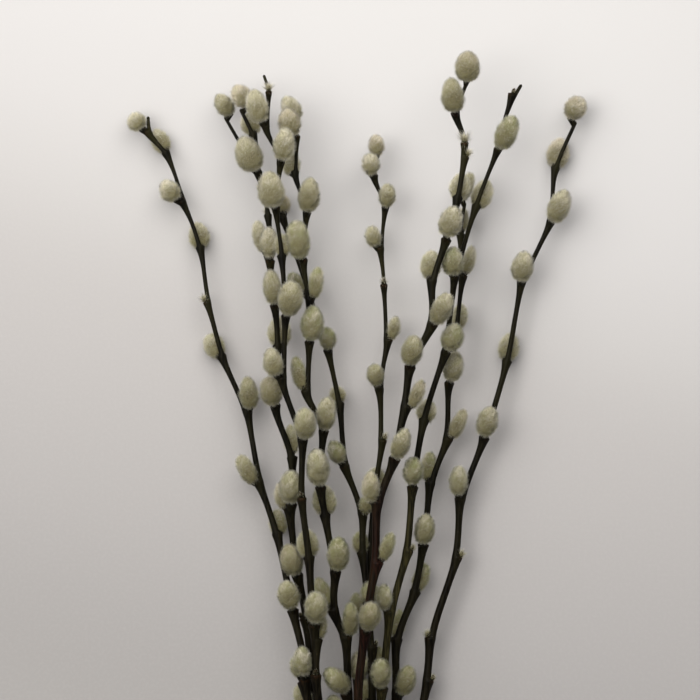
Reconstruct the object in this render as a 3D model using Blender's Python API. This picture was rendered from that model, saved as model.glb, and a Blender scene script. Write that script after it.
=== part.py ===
"""A bunch of ten pussy willow stems with their catkins, held by one tie and lying on a table.

Metres, +Z up. The origin is on the table under the middle of the tie. The stems run along +Y from
their cut feet, through the tie, to their tips, and the fan that they make lies face up.

Each stem is one grown piece: a tapered wood tube that swells below every joint, with a catkin or a
bare bud fused to each joint. The tables give the joints in millimetres.
"""

import math
from typing import NamedTuple

import bmesh
import bpy
import numpy as np
from mathutils import Vector

MM = 0.001

# The wood of a stem, in millimetres
TIE_RADIUS = 2.6
WOOD_SIDES = 6
FOOT_FLARE = 0.1
SHOULDER_RISE = 1.1
SHOULDER_STEPS = ((-7.0, 0.0), (0.0, 1.0), (1.8, 0.0))
CLOSEST_RINGS = 1.4
LONGEST_RUN = 20.0
SLOPE_STEP = 0.5
WOOD_CORNER = 1 / math.cos(math.pi / WOOD_SIDES)

# Catkins and buds, in millimetres and degrees
CATKIN_SIDES = 7
CATKIN_RINGS = (0.1, 0.48, 0.88)
BUD_SIDES = 4
BUD_RINGS = (0.35,)
BUD_LENGTH = 4.2
BUD_WIDTH = 2.4
EGG_SKEW = 0.82
EGG_FULLNESS = 0.62
BELLY_DEPTH = 0.85
CATKIN_LEAN = 15.0
BELLY_GAP = 0.1
ROOT_DEPTH = 0.5
ROOT_BACK = 1.5
TIP_ROOT_BACK = 2.0

# The bundle inside the tie, in millimetres
SLOT_PITCH = 5.55
SLOT_GAP = 0.3
PARALLEL_RUN = 9.0
FOOT_SPREAD = 1.25

# The tie, in millimetres
TIE_INSIDE = TIE_RADIUS * WOOD_CORNER + SLOT_GAP
TIE_WALL = 1.6
TIE_WIDTH = 9.0
TIE_SAMPLES = 24

# Finish: edges sharper than this angle, in degrees, stay sharp
SHARP_ANGLE = 50.0
WOOD_ROUGHNESS = 0.6
TWINE_ROUGHNESS = 0.9
WOOD_COLOUR = (0.030, 0.024, 0.016, 1.0)
RED_WOOD_COLOUR = (0.045, 0.022, 0.016, 1.0)
TIE_COLOUR = (0.42, 0.31, 0.18, 1.0)


class Joint(NamedTuple):
    """A joint of a stem: its place, the side its catkin grows on, and the catkin's size."""

    x: float
    y: float
    side: float
    length: float = 0.0
    width: float = 0.0


class Stem(NamedTuple):
    """A stem: its slot in the tie, its cut foot, its heights, its joints from the tip and other bends."""

    slot: tuple
    foot: float
    tip_radius: float
    taper: float
    heights: tuple
    joints: tuple
    bends: tuple = ()


# Sides are in degrees round the stem: 0 right, 90 up, 180 left, -90 down.
# Slots are (place along the row, row), with the lowest row 0. Heights are (y, z) above the table.
# Bends are (x, y), where a stem turns with no joint.
STEMS = {
    "stem_01": Stem(
        slot=(-1.0, 2),
        foot=-78.0,
        tip_radius=0.9,
        taper=1.2,
        heights=((40, 20), (110, 27), (150, 23), (180, 17), (220, 13), (260, 10.6), (401, 10.6)),
        joints=(
            Joint(-110.3, 401.5, 90),
            Joint(-109.6, 395, 175, 9, 9.5),
            Joint(-102, 384, -65, 12, 10),
            Joint(-92.5, 360, 160, 11.5, 11),
            Joint(-84.5, 336.5, -75, 13, 10.5),
            Joint(-80, 309, 180),
            Joint(-73, 282, -117, 12.5, 11),
            Joint(-61.5, 254, 10, 16.5, 10),
            Joint(-54, 219, 165, 15, 10),
            Joint(-46, 193, -65, 12.5, 10),
            Joint(-37.5, 154.5, 95, 14.5, 11),
            Joint(-31, 120, 112, 15.5, 9.5),
            Joint(-31, 118.5, 170, 10, 6),
            Joint(-28.5, 103, -150, 14, 9),
        ),
    ),
    "stem_02": Stem(
        slot=(0.0, 0),
        foot=-84.0,
        tip_radius=0.9,
        taper=1.3,
        heights=((60, 10), (110, 16), (150, 17), (200, 15), (401, 13)),
        joints=(
            Joint(-71.5, 401.5, 120, 12, 9.5),
            Joint(-43.5, 351, -45, 12, 10),
            Joint(-29.5, 313, -160, 12, 9),
            Joint(-20.5, 285, 65, 11, 9),
            Joint(-14.5, 258, -80, 9, 8.5),
            Joint(-11, 227, 140, 11.5, 9.5),
            Joint(-3.5, 203.5, 35, 9, 7.5),
            Joint(-2.5, 183.5, -115, 10.5, 8),
            Joint(0, 158.5, 80, 10.5, 9.5),
            Joint(1.5, 136, 0),
            Joint(1.8, 126, -10, 9, 6),
            Joint(2.2, 108, -170, 12, 7),
        ),
    ),
    "stem_03": Stem(
        slot=(-1.5, 1),
        foot=-80.0,
        tip_radius=0.95,
        taper=1.0,
        heights=((60, 13), (110, 18), (150, 17), (180, 18), (210, 20.5), (250, 23), (401, 23)),
        joints=(
            Joint(-63.5, 405, 160, 12, 11.5),
            Joint(-58, 393, -70, 11, 10.5),
            Joint(-54.5, 374, 125, 17.5, 13.5),
            Joint(-50, 352.5, -100),
            Joint(-48.8, 332, -160, 16, 9),
            Joint(-48.8, 329.5, 95, 15.5, 9),
            Joint(-46.5, 307.5, 95, 17, 9.5),
            Joint(-45.3, 287, -80, 15, 12),
            Joint(-46, 257.5, 110, 14.5, 11.5),
            Joint(-38.5, 231, -57, 14.5, 8),
            Joint(-38.3, 208, 92, 16, 12),
            Joint(-38.5, 205, -140, 13.5, 9),
            Joint(-35, 172.5, 115, 15.5, 11.5),
            Joint(-30.8, 150.5, 180),
        ),
        bends=((-27.8, 110),),
    ),
    "stem_04": Stem(
        slot=(0.0, 2),
        foot=-74.0,
        tip_radius=0.75,
        taper=1.0,
        heights=((20, 17), (60, 24), (110, 32), (150, 34), (200, 37), (421, 40)),
        joints=(
            Joint(-51.8, 421.5, 90),
            Joint(-49.5, 413.5, 90),
            Joint(-50, 396.5, 165, 16.5, 11.5),
            Joint(-44.5, 378.5, 25, 16, 10.5),
            Joint(-45.5, 356, 115, 17.5, 13),
            Joint(-43, 332, -95, 11, 6.5),
            Joint(-41.5, 302, 58, 17, 12.5),
            Joint(-42, 271, 160, 14.5, 10.5),
            Joint(-33.5, 240, 30, 15.5, 11),
            Joint(-33, 211, 100),
            Joint(-29.5, 181.5, -90, 14, 11),
            Joint(-27.3, 147.5, 70, 15.5, 11.5),
            Joint(-26.5, 140, -35, 11, 6),
            Joint(-26, 122.5, 90),
        ),
    ),
    "stem_05": Stem(
        slot=(-0.5, 1),
        foot=-82.0,
        tip_radius=0.8,
        taper=1.0,
        heights=((45, 15), (110, 21), (150, 24), (200, 28), (398, 30)),
        joints=(
            Joint(-37.5, 398, 180, 12.5, 11),
            Joint(-35.5, 391.5, 110, 14, 11.5),
            Joint(-36, 374, -120, 12.5, 9.5),
            Joint(-31.5, 353.5, 25, 17, 11),
            Joint(-32, 330, 108, 18.5, 12),
            Joint(-30, 310, -25, 16, 8.5),
            Joint(-29.5, 289, 75, 17, 11.5),
            Joint(-30, 264.5, -155, 16.5, 8.5),
            Joint(-23, 244.5, 35, 16.5, 10),
            Joint(-23.5, 216.5, 100, 18, 11.5),
            Joint(-21.5, 202.5, -90, 15.5, 12),
            Joint(-17, 174, 45, 16.5, 11),
            Joint(-16.5, 155, -155, 14.5, 9),
            Joint(-12, 141, 10, 16.5, 8.5),
            Joint(-9.8, 113, 150, 14, 12.5),
            Joint(-8.5, 98, 175, 14, 11),
        ),
    ),
    "stem_06": Stem(
        slot=(-1.0, 0),
        foot=-86.0,
        tip_radius=0.8,
        taper=1.2,
        heights=((60, 7), (110, 9), (150, 9), (200, 12), (250, 14), (382, 14)),
        joints=(
            Joint(4.3, 382, 120, 10.5, 8),
            Joint(3.5, 372.5, 115, 11, 9.5),
            Joint(8, 357, 40, 11.5, 9),
            Joint(7, 336, 150, 10.5, 8.5),
            Joint(8, 317.5, 90),
            Joint(9, 290, 0, 11.5, 7),
            Joint(6.5, 265.5, 145, 11, 9),
            Joint(6.5, 239.5, 0),
            Joint(3.5, 214, -90, 12, 10),
            Joint(-1.3, 150, -165, 12, 8),
            Joint(-4.5, 120, 110, 14.5, 9),
        ),
    ),
    "stem_07": Stem(
        slot=(1.0, 2),
        foot=-80.0,
        tip_radius=0.9,
        taper=0.62,
        heights=((20, 17), (60, 24), (110, 32), (150, 36), (200, 38), (418, 41)),
        joints=(
            Joint(49, 418, 90, 14.5, 12.5),
            Joint(44.5, 403, 165, 16.5, 11),
            Joint(48, 388, 90),
            Joint(47.5, 381, 0),
            Joint(44.8, 361, -100, 14, 10),
            Joint(39, 340, 90, 15, 12),
            Joint(32.5, 319.5, -135, 14.5, 10.5),
            Joint(31, 298, 20, 16, 11.5),
            Joint(21.5, 276.5, 120, 14.5, 11),
            Joint(18, 257, -20, 14, 8),
            Joint(13, 231, 75, 15, 10),
            Joint(5.5, 209, 165, 15.5, 9.5),
            Joint(3.5, 179, 0, 14, 8),
            Joint(-1.5, 145, 75, 14, 11),
        ),
        bends=((-4.9, 108),),
    ),
    "stem_08": Stem(
        slot=(1.0, 0),
        foot=-79.0,
        tip_radius=0.9,
        taper=1.0,
        heights=((60, 9), (110, 13), (150, 14), (358, 14)),
        joints=(
            Joint(48.5, 358.5, 20, 14.5, 8.5),
            Joint(46.5, 343, -90, 12, 7),
            Joint(46.5, 322, 0, 14, 7.5),
            Joint(44.5, 296, -80, 12.5, 8),
            Joint(40.5, 268.5, 75, 15, 10.5),
            Joint(39, 240.5, 5, 14.5, 8.5),
            Joint(32, 218, -140, 14.5, 9),
            Joint(27.8, 187.5, 92, 15, 10.5),
            Joint(23.3, 164, -65, 14, 9),
            Joint(15, 140, -120, 14, 8),
            Joint(14, 113, 30, 15, 10.5),
        ),
    ),
    "stem_09": Stem(
        slot=(0.5, 1),
        foot=-83.0,
        tip_radius=0.7,
        taper=1.0,
        heights=((60, 15), (110, 21), (150, 25), (200, 27), (417, 30)),
        joints=(
            Joint(76, 417, 90),
            Joint(71, 411.5, 180),
            Joint(64.5, 385.5, 65, 17, 12),
            Joint(54, 357, -80, 14.5, 11),
            Joint(44, 321.5, 135, 14, 11),
            Joint(38, 284, 35, 13.5, 11.5),
            Joint(28, 250, -90, 11.5, 10),
            Joint(22.5, 216.5, 103, 13.5, 10),
            Joint(19.3, 184.5, 0),
            Joint(11.8, 154, 165, 13, 8.5),
            Joint(7.3, 116, 103, 14, 10),
        ),
        bends=((70, 406), (68.8, 402)),
    ),
    "stem_10": Stem(
        slot=(1.5, 1),
        foot=-76.0,
        tip_radius=1.0,
        taper=1.1,
        heights=((60, 11), (110, 11.3), (399, 11.3)),
        joints=(
            Joint(104, 399, 60, 12, 11.5),
            Joint(94.5, 376.5, -107, 15, 11.5),
            Joint(91, 350, 30, 16.5, 12),
            Joint(78, 319, 155, 15, 11.5),
            Joint(69.8, 279.5, -88, 14, 10.5),
            Joint(58.5, 241, 97, 15, 11),
            Joint(47.3, 210, 165, 15, 9.5),
            Joint(44, 181, 0),
            Joint(32, 140, 180),
            Joint(29.5, 119, 0),
        ),
    ),
}

RED_STEMS = ("stem_07",)


def clear_scene():
    """Remove every object of the open scene."""
    for obj in list(bpy.data.objects):
        bpy.data.objects.remove(obj, do_unlink=True)


def principled(name, colour, roughness):
    """A Principled material of one colour."""
    material = bpy.data.materials.new(name)
    material.use_nodes = True
    shader = material.node_tree.nodes["Principled BSDF"]
    shader.inputs["Base Color"].default_value = colour
    shader.inputs["Roughness"].default_value = roughness
    shader.inputs["Metallic"].default_value = 0.0
    return material


def slot_row_height(row):
    """Height of a row of stems in the tie: the lowest lies on the tie's wall, the next in its gaps."""
    half_sample = math.pi / TIE_SAMPLES
    lowest = (TIE_INSIDE + TIE_WALL) * math.cos(half_sample)
    return lowest + row * SLOT_PITCH * math.sin(math.radians(60))


def smooth_through(knots, y):
    """Value at y of a smooth curve through (place, value) knots, with slopes from each side's chord."""
    places = np.array([knot[0] for knot in knots], float)
    values = np.array([knot[1] for knot in knots], float)
    spans = np.diff(places)
    chords = np.diff(values) / spans
    slopes = np.empty(len(knots))
    slopes[0], slopes[-1] = chords[0], chords[-1]
    slopes[1:-1] = (chords[:-1] * spans[1:] + chords[1:] * spans[:-1]) / (spans[1:] + spans[:-1])
    slopes[1:-1][chords[:-1] * chords[1:] <= 0] = 0.0
    index = int(np.clip(np.searchsorted(places, y) - 1, 0, len(spans) - 1))
    span = spans[index]
    t = (y - places[index]) / span
    return float(
        (2 * t**3 - 3 * t**2 + 1) * values[index]
        + (t**3 - 2 * t**2 + t) * span * slopes[index]
        + (3 * t**2 - 2 * t**3) * values[index + 1]
        + (t**3 - t**2) * span * slopes[index + 1]
    )


class Route:
    """The centre line of one stem, from its foot to its tip, in millimetres."""

    def __init__(self, stem):
        slot_x = stem.slot[0] * SLOT_PITCH
        slot_z = slot_row_height(stem.slot[1])
        straight = (
            (stem.foot, (slot_x * FOOT_SPREAD, slot_z)),
            (-PARALLEL_RUN, (slot_x, slot_z)),
            (PARALLEL_RUN, (slot_x, slot_z)),
        )
        joints = sorted({(joint.y, joint.x) for joint in stem.joints} | {(y, x) for x, y in stem.bends})
        self.across = [(y, place[0]) for y, place in straight] + joints
        self.up = [(y, place[1]) for y, place in straight] + list(stem.heights)
        self.foot = stem.foot
        self.tip = stem.joints[0].y
        self.stem = stem

    def point(self, y):
        """Centre of the stem at y."""
        return Vector((smooth_through(self.across, y), y, smooth_through(self.up, y)))

    def axes(self, y):
        """Unit vectors at y: along the stem towards its tip, to its right, and up from it."""
        along = (self.point(y + SLOPE_STEP) - self.point(y - SLOPE_STEP)).normalized()
        right = along.cross(Vector((0, 0, 1))).normalized()
        return along, right, right.cross(along)

    def radius(self, y):
        """Radius of the wood at y, which thins towards the tip."""
        if y <= 0:
            return TIE_RADIUS + FOOT_FLARE * (y / self.foot)
        thinning = ((self.tip - y) / self.tip) ** self.stem.taper if y < self.tip else 0.0
        return self.stem.tip_radius + (TIE_RADIUS - self.stem.tip_radius) * thinning


def outward(right, up, side):
    """Unit vector that points away from the stem at a side in degrees."""
    angle = math.radians(side)
    return right * math.cos(angle) + up * math.sin(angle)


def ring_places(route):
    """Places along y of the rings of a stem: its ends, its joints' shoulders, and fillers on long runs."""
    wanted = {route.foot, -PARALLEL_RUN, 0.0, PARALLEL_RUN, route.tip}
    for joint in route.stem.joints[1:]:
        wanted |= {joint.y + step for step, _ in SHOULDER_STEPS}
    places = [route.foot]
    for y in sorted(wanted):
        if y > route.tip - CLOSEST_RINGS and y != route.tip:
            continue
        if y - places[-1] < CLOSEST_RINGS:
            continue
        fillers = int((y - places[-1]) // LONGEST_RUN)
        places += [places[-1] + (y - places[-1]) * k / (fillers + 1) for k in range(1, fillers + 1)]
        places.append(y)
    return places


def shoulder_rise(route, y, angle):
    """How far the wood stands out at y on the side at angle, under the joints near it."""
    rise = 0.0
    steps, shares = zip(*SHOULDER_STEPS)
    for joint in route.stem.joints[1:]:
        share = float(np.interp(y - joint.y, steps, shares, left=0.0, right=0.0))
        facing = max(0.0, math.cos(angle - math.radians(joint.side)))
        rise = max(rise, share * facing * SHOULDER_RISE)
    return rise


def add_wood(mesh, route):
    """Add the closed wood tube: rings across the route, bridged, with a flat cap on each end."""
    rings = []
    for y in ring_places(route):
        centre = route.point(y)
        _, right, up = route.axes(y)
        ring = []
        for side in range(WOOD_SIDES):
            angle = 2 * math.pi * (side + 0.5) / WOOD_SIDES
            reach = route.radius(y) * WOOD_CORNER + shoulder_rise(route, y, angle)
            offset = (right * math.cos(angle) + up * math.sin(angle)) * reach
            ring.append(mesh.verts.new((centre + offset) * MM))
        rings.append(ring)
    for lower, upper in zip(rings, rings[1:]):
        for side in range(WOOD_SIDES):
            after = (side + 1) % WOOD_SIDES
            mesh.faces.new((lower[side], lower[after], upper[after], upper[side]))
    mesh.faces.new(rings[0][::-1])
    mesh.faces.new(rings[-1])


def add_egg(mesh, root, base, axis, outer, size, sides, levels):
    """Add a closed egg from base along axis: its rings swell by a skewed sine, and it narrows to its root."""
    length, width = size
    across = axis.cross(outer).normalized()
    depth = (outer - axis * outer.dot(axis)).normalized()
    rings = []
    for level in levels:
        swell = math.sin(math.pi * level**EGG_SKEW) ** EGG_FULLNESS
        ring = []
        for side in range(sides):
            angle = 2 * math.pi * side / sides
            flat = BELLY_DEPTH if math.sin(angle) < 0 else 1.0
            offset = across * math.cos(angle) + depth * (math.sin(angle) * flat)
            ring.append(mesh.verts.new((base + axis * (length * level) + offset * (width / 2 * swell)) * MM))
        rings.append(ring)
    bottom = mesh.verts.new(root * MM)
    top = mesh.verts.new((base + axis * length) * MM)
    for side in range(sides):
        after = (side + 1) % sides
        mesh.faces.new((bottom, rings[0][after], rings[0][side]))
        mesh.faces.new((top, rings[-1][side], rings[-1][after]))
        for lower, upper in zip(rings, rings[1:]):
            mesh.faces.new((lower[side], lower[after], upper[after], upper[side]))


def add_growth(mesh, route, joint):
    """Add the catkin or the bare bud of a joint, with its root sunk in the wood."""
    along, right, up = route.axes(joint.y)
    outer = outward(right, up, joint.side)
    lean = math.radians(CATKIN_LEAN)
    axis = along * math.cos(lean) + outer * math.sin(lean)
    centre = route.point(joint.y)
    wood = route.radius(joint.y)
    root = centre + outer * (wood * ROOT_DEPTH) - along * ROOT_BACK
    if joint.length == 0:
        add_egg(mesh, root, centre + outer * wood, axis, outer, (BUD_LENGTH, BUD_WIDTH), BUD_SIDES, BUD_RINGS)
        return
    if joint is route.stem.joints[0]:
        root = centre - along * TIP_ROOT_BACK
        middle = centre + axis * (joint.length / 2)
    else:
        beside = wood + BELLY_GAP + BELLY_DEPTH * joint.width / 2
        middle = centre + along * (joint.length / 2 * math.cos(lean)) + outer * beside
    base = middle - axis * (joint.length / 2)
    add_egg(mesh, root, base, axis, outer, (joint.length, joint.width), CATKIN_SIDES, CATKIN_RINGS)


def mesh_object(name, mesh, material):
    """Turn a bmesh into a named object of the scene, with its faces pointing out."""
    bmesh.ops.recalc_face_normals(mesh, faces=mesh.faces)
    data = bpy.data.meshes.new(name)
    mesh.to_mesh(data)
    mesh.free()
    data.materials.append(material)
    data.shade_smooth()
    data.set_sharp_from_angle(angle=math.radians(SHARP_ANGLE))
    obj = bpy.data.objects.new(name, data)
    bpy.context.scene.collection.objects.link(obj)
    return obj


def fuse(obj, pieces):
    """Join pieces to an object by one Boolean union on a collection, then remove them."""
    group = bpy.data.collections.new(obj.name + "_growth")
    bpy.context.scene.collection.children.link(group)
    for piece in pieces:
        bpy.context.scene.collection.objects.unlink(piece)
        group.objects.link(piece)
    union = obj.modifiers.new("growth", "BOOLEAN")
    union.operation = "UNION"
    union.operand_type = "COLLECTION"
    union.collection = group
    union.solver = "EXACT"
    bpy.context.view_layer.update()
    graph = bpy.context.evaluated_depsgraph_get()
    joined = bpy.data.meshes.new_from_object(obj.evaluated_get(graph))
    obj.modifiers.clear()
    obj.data = joined
    for piece in pieces:
        bpy.data.objects.remove(piece, do_unlink=True)
    bpy.data.collections.remove(group)


def make_stem(name, stem, material):
    """Build one stem: its wood, with the catkins and buds of its joints fused to it."""
    route = Route(stem)
    wood = bmesh.new()
    add_wood(wood, route)
    obj = mesh_object(name, wood, material)
    pieces = []
    for number, joint in enumerate(stem.joints):
        if joint.length == 0 and number == 0:
            continue
        growth = bmesh.new()
        add_growth(growth, route, joint)
        pieces.append(mesh_object(f"{name}_growth_{number}", growth, material))
    fuse(obj, pieces)
    return obj


def tie_outline(offset):
    """Points (x, z) round the bundle at an offset: straight across its gaps, round at its corners."""
    corners = [(-1.0, 0), (1.0, 0), (1.5, 1), (1.0, 2), (-1.0, 2), (-1.5, 1)]
    centres = [(place * SLOT_PITCH, slot_row_height(row)) for place, row in corners]
    points = []
    for sample in range(TIE_SAMPLES):
        angle = 2 * math.pi * (sample + 0.5) / TIE_SAMPLES
        facing = (math.cos(angle), math.sin(angle))
        corner = max(centres, key=lambda centre: centre[0] * facing[0] + centre[1] * facing[1])
        points.append((corner[0] + facing[0] * offset, corner[1] + facing[1] * offset))
    return points


def make_tie(material):
    """Build the tie: a closed band round the bundle, flat underneath, where it lies on the table."""
    inner = tie_outline(TIE_INSIDE)
    outer = tie_outline(TIE_INSIDE + TIE_WALL)
    mesh = bmesh.new()
    loops = []
    for outline, y in ((outer, -1), (outer, 1), (inner, 1), (inner, -1)):
        loops.append([mesh.verts.new(Vector((x, y * TIE_WIDTH / 2, z)) * MM) for x, z in outline])
    for first, second in zip(loops, loops[1:] + loops[:1]):
        for sample in range(TIE_SAMPLES):
            after = (sample + 1) % TIE_SAMPLES
            mesh.faces.new((first[sample], first[after], second[after], second[sample]))
    return mesh_object("tie", mesh, material)


def main():
    """Build the ten stems and the tie."""
    clear_scene()
    wood = principled("dark willow bark", WOOD_COLOUR, WOOD_ROUGHNESS)
    red_wood = principled("red willow bark", RED_WOOD_COLOUR, WOOD_ROUGHNESS)
    twine = principled("jute twine", TIE_COLOUR, TWINE_ROUGHNESS)
    for name, stem in STEMS.items():
        make_stem(name, stem, red_wood if name in RED_STEMS else wood)
    make_tie(twine)


main()
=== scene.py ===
"""Looks of a bunch of ten pussy willow stems: bark, catkin fur, bare buds, cut feet and the twine tie.

Lengths are in millimetres until a mesh is made, and angles in degrees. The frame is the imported
model's: the bunch lies on the floor at z = 0, its stems run along +Y, and the camera looks down on it.
"""

import logging
import math
from dataclasses import dataclass, field
from enum import Enum
from typing import Any, NamedTuple

import bpy
import numpy as np
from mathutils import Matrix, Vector

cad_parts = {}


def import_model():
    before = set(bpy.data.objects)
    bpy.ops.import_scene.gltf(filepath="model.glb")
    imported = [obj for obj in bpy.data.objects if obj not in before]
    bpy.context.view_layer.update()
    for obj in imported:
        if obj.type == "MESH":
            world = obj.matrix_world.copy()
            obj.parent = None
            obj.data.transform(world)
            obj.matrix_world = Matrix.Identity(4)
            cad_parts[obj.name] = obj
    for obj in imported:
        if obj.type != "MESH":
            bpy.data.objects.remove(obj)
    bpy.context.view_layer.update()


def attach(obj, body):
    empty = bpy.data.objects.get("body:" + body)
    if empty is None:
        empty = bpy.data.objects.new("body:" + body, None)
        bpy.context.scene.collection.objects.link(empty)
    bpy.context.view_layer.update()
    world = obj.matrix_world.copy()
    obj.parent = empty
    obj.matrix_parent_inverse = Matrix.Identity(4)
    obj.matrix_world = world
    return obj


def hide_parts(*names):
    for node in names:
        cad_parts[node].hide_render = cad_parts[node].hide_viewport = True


Array = np.ndarray
Pair = tuple[float, float]
Triple = tuple[float, float, float]
Rgba = tuple[float, float, float, float]
Knots = tuple[Pair, ...]
Socket = bpy.types.NodeSocket
Material = bpy.types.Material
Inputs = dict[str | int, Any]

LOG = logging.getLogger("willow")
MM = 0.001
SEED = 417
FLOOR_GAP = 0.02


class Coat(Enum):
    """Colour of a catkin: how green, pink, pale and shaded its hair is, each from 0 to 1."""

    CREAM = (0.20, 0.15, 0.35, 0.10)
    PALE = (0.10, 0.05, 0.85, 0.00)
    GREEN = (0.75, 0.00, 0.25, 0.15)
    OLIVE = (0.80, 0.25, 0.00, 0.45)
    PINK = (0.05, 0.75, 0.25, 0.15)
    GREY = (0.25, 0.10, 0.15, 0.40)
    WHITE = (0.00, 0.00, 1.00, 0.00)


class Form(Enum):
    """Outline of a catkin: its skew towards the base, its fullness, and the depth of its crease."""

    EGG = (0.72, 0.41, 0.0)
    BARREL = (0.92, 0.36, 0.0)
    BELL = (0.62, 0.38, 0.0)
    CREASED = (0.88, 0.40, 0.10)


class Bark(Enum):
    """The barks of the bunch: the material slot of each, and its looks."""

    DARK = ("bark", "dark")
    OLIVE = ("bark", "olive low down")
    RED = ("red_bark", "red-brown low down")

    @property
    def slot(self) -> str:
        """The material slot that its finish comes from."""
        return self.value[0]


class Joint(NamedTuple):
    """A joint: its place, the side its catkin grows on, the catkin's size and looks, and its shoulder.

    Turn swings a catkin to the left in degrees, roll moves it round the stem from its side, and rise
    and shift move it up and to the right in millimetres. Swell is the size of the shoulder under it,
    tuft the size of the hair on a bare bud, and tone makes a catkin duller (-1) or paler (1).
    """

    x: float
    y: float
    side: float
    length: float = 0.0
    width: float = 0.0
    coat: Coat = Coat.CREAM
    form: Form = Form.EGG
    turn: float = 0.0
    swell: float = 1.0
    roll: float = 0.0
    rise: float = 0.0
    shift: float = 0.0
    tuft: float = 1.0
    tone: float = 0.0


def linear(colour: str) -> Rgba:
    """Linear colour of an sRGB hex value: each channel by the sRGB curve.

    Args:
        colour: Six hex digits after a hash sign.

    Returns:
        Red, green, blue and an alpha of 1.
    """
    channels = [int(colour[start : start + 2], 16) / 255 for start in (1, 3, 5)]
    curve = [c / 12.92 if c <= 0.04045 else ((c + 0.055) / 1.055) ** 2.4 for c in channels]
    return (curve[0], curve[1], curve[2], 1.0)


def add_node(
    tree: bpy.types.NodeTree, kind: str, inputs: Inputs | None = None, **settings: Any
) -> bpy.types.Node:
    """Add a node with its settings and its inputs.

    Args:
        tree: Node tree that gets the node.
        kind: Type of the node.
        inputs: A value, a hex colour or another node's output for each input, by name or place.
        **settings: Properties of the node itself.

    Returns:
        The new node.
    """
    node = tree.nodes.new(kind)
    for name, value in settings.items():
        setattr(node, name, value)
    for place, value in (inputs or {}).items():
        if isinstance(value, bpy.types.NodeSocket):
            tree.links.new(value, node.inputs[place])
        else:
            node.inputs[place].default_value = linear(value) if isinstance(value, str) else value
    return node


@dataclass
class Shades:
    """A material in the making: its masks, its patterns, and the layers of colour that they let show."""

    name: str
    tree: bpy.types.NodeTree = field(init=False)
    material: Material = field(init=False)

    def __post_init__(self) -> None:
        """Make the material with an empty node tree."""
        self.material = bpy.data.materials.new(self.name)
        self.material.use_nodes = True
        self.tree = self.material.node_tree
        self.tree.nodes.clear()

    def add(self, kind: str, inputs: Inputs, output: str | int = 0, **settings: Any) -> Socket:
        """Add a node to this material, as add_node does, and give one of its outputs."""
        return add_node(self.tree, kind, inputs, **settings).outputs[output]

    def mask(self, name: str) -> tuple[Socket, ...]:
        """The four masks that the mesh holds in the attribute of this name."""
        read = add_node(self.tree, "ShaderNodeAttribute", attribute_name=name)
        parts = add_node(self.tree, "ShaderNodeSeparateColor", {0: read.outputs["Color"]})
        return (*parts.outputs[:3], read.outputs["Alpha"])

    def pattern(self, kind: str, size: Triple, **inputs: float) -> Socket:
        """A texture on Object coordinates, with features of a size in millimetres.

        Args:
            kind: Type of the texture's node.
            size: Size of its features along x, y and z.
            **inputs: Other values of that node.

        Returns:
            The texture's first output.
        """
        here = self.add("ShaderNodeTexCoord", {}, "Object")
        steps = tuple(1 / (length * MM) for length in size)
        place = self.add("ShaderNodeMapping", {"Scale": steps, "Vector": here})
        return self.add(kind, {"Vector": place, "Scale": 1.0, **inputs})

    def share(self, pattern: Socket, limits: Pair, most: float = 1.0, mask: Socket | None = None) -> Socket:
        """How far a layer shows: a smooth step of a pattern, times a mask.

        Args:
            pattern: The pattern, or another mask.
            limits: Its value where the layer begins to show, and where it shows most.
            most: Share where it shows most.
            mask: Mask that keeps the layer to a part of the surface.

        Returns:
            The share.
        """
        inputs = {"Value": pattern, "From Min": limits[0], "From Max": limits[1], "To Max": most}
        step = self.add("ShaderNodeMapRange", inputs, interpolation_type="SMOOTHSTEP", clamp=True)
        if mask is None:
            return step
        return self.add("ShaderNodeMath", {0: step, 1: mask}, operation="MULTIPLY")

    def lay(self, colour: Socket | str, *layers: tuple[Socket, Socket | str]) -> Socket:
        """Colours laid over one another.

        Args:
            colour: The lowest one.
            *layers: The share and the colour of each layer over it, from the lowest up.

        Returns:
            The colour that shows.
        """
        for share, tone in layers:
            colour = self.add("ShaderNodeMix", {0: share, 6: colour, 7: tone}, 2, data_type="RGBA")
        return colour

    def finish(
        self,
        colour: Socket,
        values: Inputs,
        height: Socket | None = None,
        depth: float = 0.1,
        through: float = 0.0,
    ) -> Material:
        """Close the material with one Principled shader.

        Args:
            colour: Base colour.
            values: Other inputs of the shader.
            height: Patterned height for the bump, where it has one.
            depth: Depth of that bump in millimetres.
            through: Share of the light that passes through, where it is thin.

        Returns:
            The finished material.
        """
        inputs = {"Base Color": colour, **values}
        if height is not None:
            inputs["Normal"] = self.add("ShaderNodeBump", {"Distance": depth * MM, "Height": height})
        shader = self.add("ShaderNodeBsdfPrincipled", inputs)
        if through:
            glow = self.add("ShaderNodeBsdfTranslucent", {"Color": colour})
            shader = self.add("ShaderNodeMixShader", {0: through, 1: shader, 2: glow})
        add_node(self.tree, "ShaderNodeOutputMaterial", {"Surface": shader})
        return self.material


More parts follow.
